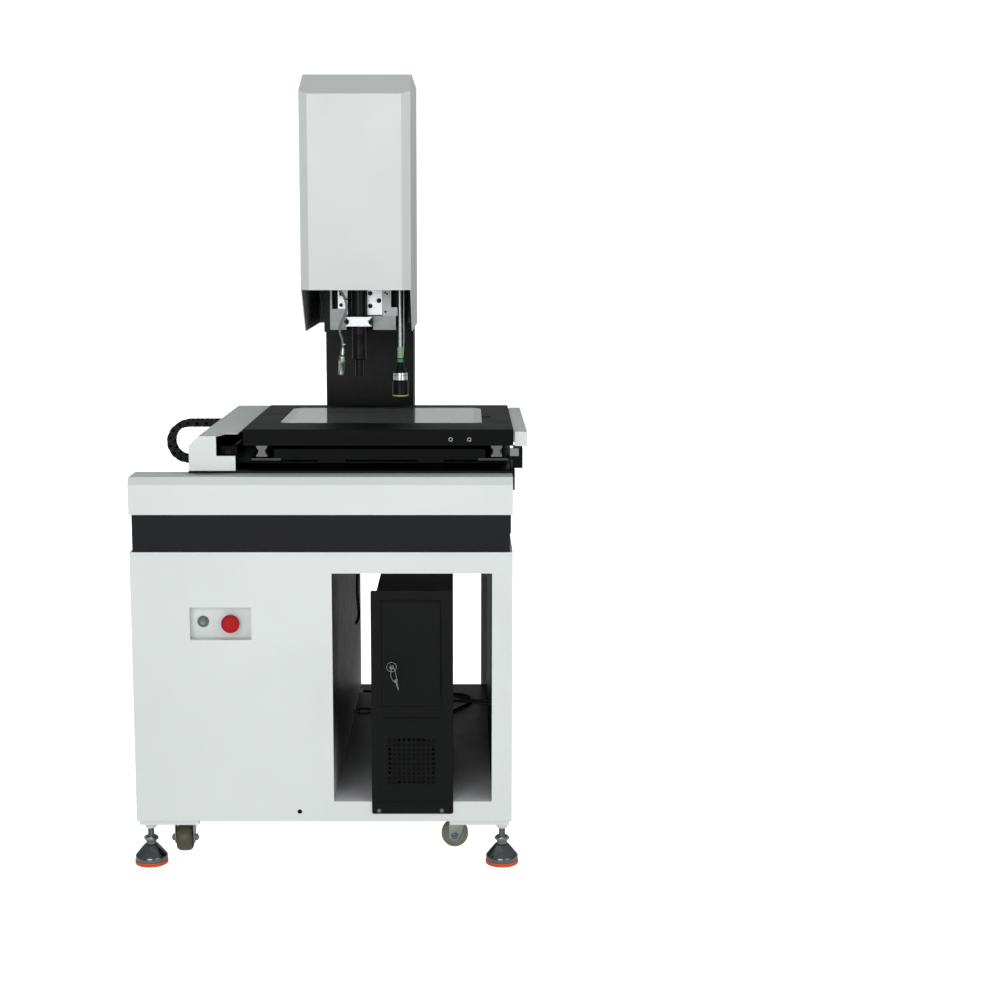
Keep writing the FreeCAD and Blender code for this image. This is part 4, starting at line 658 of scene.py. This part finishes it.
def makeForks():
    for k, (name, turn) in enumerate(caster["turn"].items()):
        form = bmesh.new()
        x, z, r = caster["trail"], caster["axle"], fork["toe"]
        toe = [(x + 1.5 + r * math.cos(math.radians(a)), z - 1.5 + r * math.sin(math.radians(a)))
               for a in range(0, -151, -15)]
        side = [(fork["rear"], fork["top"]), (fork["front"], fork["top"])] + toe + [(12, 70), (9, 83),
                                                                                    (fork["rear"], 90)]
        for s in (-1, 1):
            y0, y1 = sorted((s * fork["inner"], s * fork["outer"]))
            growPrism(form, side, y0, y1, "y", bevel=0.7, steps=2)
            growTurned(form, [(8.2, 0), (8.2, s * 0.9), (7.4, s * 1.1)], (x, s * fork["outer"], z), "y", 1,
                       48)
            growTurned(form, [(6.4, s * 1.0), (6.7, s * 1.4, 6), (6.7, s * 5.6, 6), (6.2, s * 6.2),
                              (3.6, s * 6.2), (3.6, s * 8.0), (3.0, s * 8.5), (0, s * 8.5)],
                              (x, s * fork["outer"], z), "y", 1, 48)
        growTurned(form, [(4.5, -23), (4.5, 23)], (x, 0, z), "y", 1)
        growBlock(form, fork["rear"], 13, -fork["outer"], fork["outer"], fork["top"] - 3, fork["top"],
                  bevel=0.6, steps=2)
        form.transform(casterPlace(k, turn))
        node = "caster_fork_" + name
        placeForm(node + "_pressed", form, ("zinc", "spun"), bodyOf[node], node)


# start button and emergency stop
buttons = {"startX": -258.5, "startZ": 556, "stopX": -198, "stopZ": 554, "wall": 25, "stopFace": -1}


def makeButtons():
    form = bmesh.new()
    here = (buttons["startX"], buttons["wall"] - 3.6, buttons["startZ"])
    growTurned(form, [(0, 0.9), (3.0, 0.7), (6.2, 0.15), (7.2, 0), (7.8, 0.4), (8, 1), (8, 5.4), (0, 5.4)],
               here, "y", sides=64)
    placeForm("start_cap_face", form, ("buttonSilver",), "start_cap", "start_button")
    form = bmesh.new()
    here = (buttons["stopX"], buttons["stopFace"], buttons["stopZ"])
    growTurned(form, [(0, 0.9), (6.0, 0.5), (9.5, 0.05), (12.5, 0.3), (15.6, 1.5), (18.0, 3.4), (19.4, 5.6),
                      (20, 8), (19.9, 10.4), (19.2, 12.2), (18.2, 13.4), (17.4, 15), (10.0, 15), (8.2, 14.8)],
                      here, "y",
               sides=80)
    placeForm("stop_mushroom", form, ("red",), "estop_knob", "estop_head")


# cable chain: plates with pins and cross bars, bent round at the left
chain = {"y": 449, "wide": 46, "high": 16, "radius": 43, "bendX": -345, "topZ": 944, "endX": -213,
         "lowX": -303, "top": 6, "arc": 7, "low": 2, "plate": 3}


def growLink(whole, x, z, turn, length):
    half, tall, pin = chain["wide"] / 2, chain["high"] / 2, 3.2
    form = bmesh.new()
    reach = length / 2 + 2.4
    for side in (-1, 1):
        for step, (a0, a1) in enumerate(((-reach, 1.0), (-1.0, reach))):
            inner = half - (0 if step else 1.5)  # each plate steps inward at its rear half
            y0, y1 = sorted((side * inner, side * (inner - 1.5)))
            growPrism(form, rounded(a0, a1, -tall, tall, 3.4, 3), y0, y1, "y", bevel=0.25)
        growTurned(form, [(pin, 0), (pin, 0.35), (pin - 0.5, 0.6), (0, 0.6)],
                   (length / 2 - 0.6, side * half - (0.6 if side > 0 else 0), 0), "y", sides=16)
    for at in (-length * 0.26, length * 0.26):
        for level in (-tall + 0.9, tall - 0.9):
            growBlock(form, at - 1.7, at + 1.7, -half + 1.5, half - 1.5, level - 0.9, level + 0.9, bevel=0.3)
    addTo(whole, form, Matrix.Translation((x, chain["y"], z)) @ Matrix.Rotation(math.radians(turn), 4, "Y"))


def makeChain():
    form = bmesh.new()
    run = (chain["endX"] - chain["bendX"]) / chain["top"]
    for k in range(chain["top"]):
        growLink(form, chain["endX"] - (k + 0.5) * run, chain["topZ"], 0, run)
    step = 180 / chain["arc"]
    mid = chain["radius"] * math.cos(math.radians(step / 2))
    chord = 2 * mid * math.tan(math.radians(step / 2))
    for k in range(chain["arc"]):
        a = 90 + (k + 0.5) * step
        growLink(form, chain["bendX"] + mid * math.cos(math.radians(a)),
                 chain["topZ"] - chain["radius"] + mid * math.sin(math.radians(a)), 90 - a, chord)
    run = (chain["lowX"] - chain["bendX"]) / chain["low"]
    for k in range(chain["low"]):
        growLink(form, chain["bendX"] + (k + 0.5) * run, chain["topZ"] - 2 * chain["radius"], 0, run)
    y = chain["y"]
    under = chain["topZ"] - 2 * chain["radius"]
    left = chain["bendX"] - chain["radius"]
    for k, offset in enumerate((-12, -4, 5, 13)):  # hoses lying in the chain
        growTube(form, [(chain["lowX"], y + offset, under), (chain["bendX"], y + offset, under - 1),
                        (left + 10, y + offset, under + 8), (left, y + offset, under + 40),
                        (left + 8, y + offset, chain["topZ"] - 10),
                        (chain["bendX"], y + offset, chain["topZ"] + 1),
                        (chain["endX"], y + offset, chain["topZ"])], 3.2 - 0.3 * k, 1)
    piece = placeForm("cable_chain", form, ("plastic", "jacket"), None, "drag_chain")
    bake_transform(piece)


# front of the computer
computer = {"face": -3, "left": 105, "right": 282, "low": 133, "high": 629, "doorLeft": 127.5,
            "doorRight": 255.5, "doorLow": 373.5, "doorHigh": 605.5, "grille": (139, 244, 197, 306),
            "bars": 11, "barLow": 199, "barRise": 10.55, "barLeft": 139.4, "barStep": 10.45}


def makeComputerFront():
    face = computer["face"]
    form = bmesh.new()
    x0, x1 = computer["doorLeft"] - 1.2, computer["doorRight"] + 2.4
    growBlock(form, x0, x1, face - 2.2, face, computer["doorHigh"] + 0.6, computer["doorHigh"] + 3.4,
              bevel=0.7)
    growBlock(form, x1 - 0.8, x1 + 1.0, face - 1.6, face, computer["doorLow"], computer["doorHigh"] - 42,
              bevel=0.6)
    growBlock(form, x0 + 2, x1 - 2, face - 2.0, face, 347.2, 349.8, bevel=0.7)
    growBlock(form, computer["left"] + 5, computer["right"] - 5, face - 0.8, face, 159, 160.4, bevel=0.3)
    left, right, low, high = computer["grille"]
    for k in range(computer["bars"]):  # bars of the air grille
        z = computer["barLow"] + computer["barRise"] * k
        growBlock(form, left, right, face - 0.9, face, z - 1.0, z + 1.0, bevel=0.35)
    for k in range(computer["bars"]):
        x = computer["barLeft"] + computer["barStep"] * k
        growBlock(form, x - 1.0, x + 1.0, face - 0.6, face, low, high, bevel=0.25)
    placeForm("computer_front_ribs", form, ("computerPaint",), "base")
    form = bmesh.new()
    outline = rounded(left + 8, right - 7, low + 11, high - 9, 6)
    growPrism(form, outline, 0.6, 3.0, "y", bevel=0.4)  # filter mat behind the grille
    placeForm("grille_filter", form, ("computerPaint",), "base")


# lock, keys and their ring
lock = {"x": 149.5, "z": 462, "face": -6.4, "keyFront": -24.1, "keyBack": -22.1,
        "loop": [(-0.5, -2, 1), (-0.8, -9, 1), (-0.6, -18.4, 1), (3, -24, 1), (7.4, -28.9, 0), (11, -30, -1),
                 (12.9, -26.8, -1), (12, -20, -1), (10, -13.1, -1), (9.2, -6, -1), (7.0, 0.2, -1),
                 (3.4, 3.6, 0), (0.6, 1, 1)]}


def growKey(form, part, bowAt, tip):
    # a flat key that hangs almost edge on: small bow, then a blade with a few cuts
    down = Vector(tip) - Vector(bowAt)
    length = down.length
    down.normalize()
    over = Vector((-down.y, down.x))
    outline = [(-2.6, 1.6), (-1.4, 2.6), (4.6, 2.7), (6.4, 1.9), (9, 1.8), (10, 1.3), (12, 1.9), (14, 1.2),
               (16, 1.8), (length, 0.5), (length, -1.2), (6.4, -1.9), (4.6, -2.7), (-1.4, -2.6), (-2.6, -1.6)]
    shape = [tuple(Vector(bowAt) + down * a + over * b) for a, b in outline]
    growPrism(form, shape, lock["keyFront"], lock["keyBack"], "y", part, bevel=0.3)


def makeLock():
    form = bmesh.new()
    x, z, face = lock["x"], lock["z"], lock["face"]
    growTurned(form, [(0, 0.6), (4.2, 0), (5.0, 0.5), (5.0, 19.0), (0, 19.0)], (x, face, z), "y", 0)
    growPrism(form, rounded(-27, face, z - 6.0, z + 6.0, 2.6), x - 1, x + 1, "x", 0, 0.3)
    growTube(form, [(x + a, -24 + c, z + b) for a, b, c in lock["loop"]], 0.95, 0, 10, 2)
    growKey(form, 1, (x + 9.6, z - 25), (x + 15.8, z - 46.7))
    growBlock(form, x - 5, x + 5, 12.6, 14.6, z - 30, z + 5, bevel=0.4)
    growBlock(form, x - 5, x + 5, 1.0, 12.6, z - 30, z - 26, bevel=0.4)
    placeForm("lock_and_keys", form, ("brass", "greyAluminium"), "key", "lock_plug")
    form = bmesh.new()
    growTurned(form, [(9.5, 1.6), (9.8, 0.4), (10.3, 0), (11.0, 0.4), (11.4, 1.4), (11.5, 3.0)],
               (x, face + 0.2, z), "y", 0, 56)
    growTurned(form, [(5.2, 1.9), (9.6, 1.7), (9.5, 1.5)], (x, face + 0.4, z), "y", 1, 56)
    placeForm("lock_collar", form, ("nickel", "darkTeal"), "door")


# slide plates, screws and blocks of the head
head = {"plateFace": 482, "plates": ((7.2, 31, 1196, 1380), (76.5, 113, 1196, 1380)),
        "screws": ((15.3, 1245.5, 4.3), (15.3, 1219.5, 4.3), (84, 1247, 5.3), (84, 1217.4, 5.3),
                   (84, 1300, 4.3), (15.3, 1300, 4.3)),
        "clampY": 433.3, "clampScrews": ((28.6, 1182.5), (88.6, 1182.5)), "plate": 4,
        "strip": (-11, -5.5, 1210.6, 1300), "stripFace": 474, "bolt": (104.6, 1230),
        "smallScrews": ((124, 1246, 2.4), (119.5, 1249, 2.4), (120, 1204, 2.6))}


def makeHead():
    form = bmesh.new()
    back = head["plateFace"]
    front = back - head["plate"]
    for x0, x1, z0, z1 in head["plates"]:
        growBlock(form, x0, x1, front, back, z0, z1, bevel=0.5)
    x0, x1, z0, z1 = head["strip"]
    growBlock(form, x0, x1, head["stripFace"], back, z0, z1, 3)
    for x, z, r in head["screws"]:
        growCapScrew(form, (x, front, z), r, 3.2, 1)
    here = (head["bolt"][0], front, head["bolt"][1])
    growTurned(form, [(5.6, 0.1), (5.6, -1.0), (4.4, -1.1)], here, "y", 1, 48)
    growTurned(form, [(4.0, -1.0), (4.3, -1.2, 6), (4.3, -3.4, 6), (3.8, -4.0), (1.9, -4.0), (1.9, -2.0),
                      (0, -2.0)],
               here, "y", 1, 48)
    for x, z, r in head["smallScrews"]:
        growCapScrew(form, (x, head["stripFace"], z), r, 1.6, 1)
    for x, z in head["clampScrews"]:
        growCapScrew(form, (x, head["clampY"] + 1.2, z), 4.0, 3.0, 1)
    placeForm("slide_plates_and_screws", form, ("satin", "plastic", "zinc", "greyAluminium"), "z_head")


# zoom lens: turned barrel with rings and grooves
lens = {"x": 58.5, "y": 455, "tip": 1054, "shoulder": 1095, "ring": 1132, "clamp": 1171.5, "top": 1335}


def makeLens():
    form = bmesh.new()
    here = (lens["x"], lens["y"], 0)
    z, s, r = lens["tip"], lens["shoulder"], lens["ring"]
    growTurned(form, [(6.5, z + 3), (7.6, z + 0.2), (9.2, z), (9.8, z + 0.6), (9.8, s - 12.4), (9.2, s - 12),
                      (9.2, s - 11), (9.8, s - 10.6), (9.8, s - 3), (15.2, s - 1.2), (16.6, s), (16.6, s + 7),
                      (16.0, s + 7.4), (16.0, s + 8.2), (16.6, s + 8.6), (16.6, r - 1.6), (15.6, r - 1.2),
                      (15.6, r + 1.0), (16.8, r + 1.4)], here, part=0, sides=64)
    grip = [(16.8, r + 1.4)]
    for k in range(7):  # fine grip rings of the focus collar
        at = r + 5 + k * 2.2
        grip += [(16.8, at), (16.35, at + 0.5), (16.35, at + 1.0), (16.8, at + 1.5)]
    growTurned(form, grip + [(16.8, lens["clamp"] - 6), (17.6, lens["clamp"] - 5.4),
                             (17.6, lens["clamp"] + 24), (17.0, lens["clamp"] + 24.6),
                             (17.0, lens["clamp"] + 27), (17.7, lens["clamp"] + 27.6),
                             (17.7, lens["top"] - 30), (15, lens["top"] - 28), (15, lens["top"])], here,
                             sides=64)
    growTurned(form, [(0, z + 5.6), (3.6, z + 5.0), (6.6, z + 3.2)], here, part=1, sides=48)
    growBlock(form, lens["x"] - 22, lens["x"] + 22, lens["y"] - 22, lens["y"] + 22, lens["top"],
              lens["top"] + 62, bevel=2.0, steps=3)
    placeForm("zoom_barrel", form, ("lensBlack", "coatedGlass"), "z_head", "zoom_lens")


# side probe: rod, sleeve, cone and ring light
probe = {"x": 155, "y": 455, "low": 1006}


def makeProbe():
    form = bmesh.new()
    here, z = (probe["x"], probe["y"], 0), probe["low"]
    growTurned(form, [(17.6, z + 0.6), (19, z + 1.0), (19, z + 3.2), (18.4, z + 4.0)], here, part=4, sides=64)
    growTurned(form, [(9, z + 6), (15, z + 1.4), (17.6, z + 0.6)], here, part=5, sides=64)
    growTurned(form, [(18.4, z + 4.0), (19, z + 4.6), (19, z + 33), (18.6, z + 33.4), (18.6, z + 34.4),
                      (19, z + 34.8), (19, z + 36.6), (18.2, z + 37.4), (17.0, z + 38.2)], here, part=0,
                      sides=64)
    growTurned(form, [(16.2, z + 38.2), (17, z + 39), (17, z + 49), (16.6, z + 49.4), (16.6, z + 50.4),
                      (17, z + 50.8), (17, z + 55.4), (16.2, z + 56.2), (13.4, z + 56.6)], here, part=6,
                      sides=64)
    growTurned(form, [(14, z + 56.6), (14, z + 58.4), (12.2, z + 62), (9.4, z + 71), (7.6, z + 79.6),
                      (7.0, z + 80.4)], here, part=0, sides=48)
    growTurned(form, [(6.6, z + 80.4), (7, z + 81), (7, z + 87.4), (6.4, z + 88)], here, part=3, sides=40)
    growTurned(form, [(6.2, z + 87.6), (6.9, z + 88.2), (6.9, z + 90), (6.2, z + 90.6)], here, part=0)
    growTurned(form, [(6.0, z + 89.8), (6.8, z + 90.6), (6.8, z + 114.6), (6.2, z + 115.6), (4.1, z + 116)],
               here, part=2, sides=40)
    growTurned(form, [(4.1, z + 116), (4.1, z + 314.5), (0, z + 314.5)], here, part=1)
    growTurned(form, [(4.9, 1268), (4.9, 1271.8)], here, part=1)
    placeForm("side_probe_turned", form, ("lensBlack", "satin", "mint", "teal", "lime", "opal", "chrome"),
              "z_head", "side_probe")


# connector, ties and thin leads of the head
leads = {"connector": (22, 426, 1122), "lean": 5.0, "tie": (24.5, 425.6, 1130),
         "probeLead": [(163.6, 452, 1271), (164.4, 450, 1240), (163.6, 450, 1200), (164.2, 450, 1150),
                       (163, 450, 1121)],
         "probeSleeve": [(163, 450, 1121), (162.4, 450, 1112), (161.5, 449, 1100)],
         "slideLead": [(12, 470, 1252), (16, 466, 1246), (24, 464, 1236), (34, 466, 1231), (40, 472, 1233)]}


def makeLeads():
    form = bmesh.new()
    x, y, z = leads["connector"]
    growTurned(form, [(3.4, 1), (4.9, -4), (4.9, -17), (7.4, -20), (7.9, -21.5), (7.9, -25), (7.3, -25.6),
                      (7.3, -27), (7.9, -27.6), (7.9, -36), (7.0, -38.4), (7.0, -62), (6.2, -63), (5.6, -61),
                      (0, -60)], (0, 0, 0), sides=48)
    for k in range(5):
        a = math.tau * k / 5
        growTurned(form, [(0.6, -60), (0.6, -65), (0, -65.6)], (3 * math.cos(a), 3 * math.sin(a), 0), part=1,
                   sides=10)
    form.transform(Matrix.Translation((x, y, z)) @ Matrix.Rotation(math.radians(leads["lean"]), 4, "Y"))
    connector = placeForm("camera_connector", form, ("nickel", "brass"), "z_head", "cable_connector")
    form = bmesh.new()
    growRing(form, leads["tie"], 3.4, 1.1, "z", 0, 20)
    growBlock(form, 22.6, 26.4, 421.0, 423.4, 1128.4, 1131.8, bevel=0.4)
    placeForm("cable_tie", form, ("white",), "z_head")
    form = bmesh.new()
    growTube(form, leads["probeLead"], 1.2, 2)
    growTube(form, leads["probeSleeve"], 1.3, 0)
    growTube(form, leads["slideLead"], 1.5, 1)
    placeForm("thin_leads", form, ("mint", "jacket", "paleJacket"), "z_head")
    return connector


# cables lying in the computer bay
bayCables = {"left": [(64, 230, 668), (63, 230, 614), (62, 230, 584), (63.5, 231, 556), (66, 236, 534),
                      (64, 246, 514), (57, 250, 502)],
             "plug": (150, 322.4),
             "right": ([(280, 140, 366), (300, 146, 352), (330, 150, 342), (352, 150, 340), (366, 150, 339)],
                       [(280, 170, 340), (304, 176, 338), (336, 172, 341), (366, 170, 340)])}


def makeBayCables():
    form = bmesh.new()
    growTube(form, bayCables["left"], 3.4, 0)
    y, z = bayCables["plug"]
    growTurned(form, [(3.4, 56), (3.4, 62), (4.6, 63), (5.0, 68), (7.4, 71), (7.8, 74), (7.8, 90), (6.4, 92),
                      (6.4, 105)],
               (0, y, z), "x", 1)
    for route in bayCables["right"]:
        growTube(form, route, 3.2, 0)
    placeForm("bay_leads", form, ("jacket", "plastic"), "base")


makeFeet()
makeWheels()
makeForks()
makeButtons()
print("feet, wheels and buttons")
makeChain()
print("cable chain")
makeComputerFront()
makeLock()
makeBayCables()
print("computer front, lock and cables")
makeHead()
makeLens()
makeProbe()
connector = makeLeads()
print("head, lens and probe")


# cords
computerCord = {
    "radius": 0.0035, "node": "bay_cord", "kind": "jacket",
    "route": [(230, 496, 236), (230, 522, 236), (233, 552, 226), (238, 580, 203), (243, 612, 182),
              (250, 650, 168), (262, 700, 163.9), (284, 752, 163.9), (312, 800, 163.9), (330, 848, 163.9),
              (318, 892, 163.9), (276, 916, 163.9), (226, 912, 163.9), (176, 896, 163.9),
              (126, 890, 163.9), (92, 880, 167), (62, 876, 180), (36, 876, 180)],
}
headCord = {
    "radius": 0.0026, "node": "head_cable", "kind": "greyJacket",
    "route": [(10, 432, 1292), (10, 432, 1270), (22, 426, 1248), (33, 423, 1224), (29, 424, 1200),
              (18, 425, 1180), (13.5, 425, 1160), (22, 426, 1140), (22, 426, 1122)],
}


def layCord(name, cord):
    curve = bpy.data.curves.new(name, "CURVE")
    curve.dimensions = "3D"
    curve.bevel_depth = cord["radius"]
    curve.bevel_resolution = 4
    curve.use_fill_caps = True
    line = curve.splines.new("NURBS")
    line.points.add(len(cord["route"]) - 1)
    for point, place in zip(line.points, cord["route"]):
        point.co = (*spot(*place), 1)
    line.order_u = 3
    line.use_endpoint_u = True
    line.resolution_u = 12
    curve.materials.append(finish[cord["kind"]])
    piece = addObject(name, curve)
    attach(piece, bodyOf[cord["node"]])
    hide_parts(cord["node"])
    return piece


bayFlex = layCord("computer_mains_cord", computerCord)
headFlex = layCord("camera_cord", headCord)
print("cords")
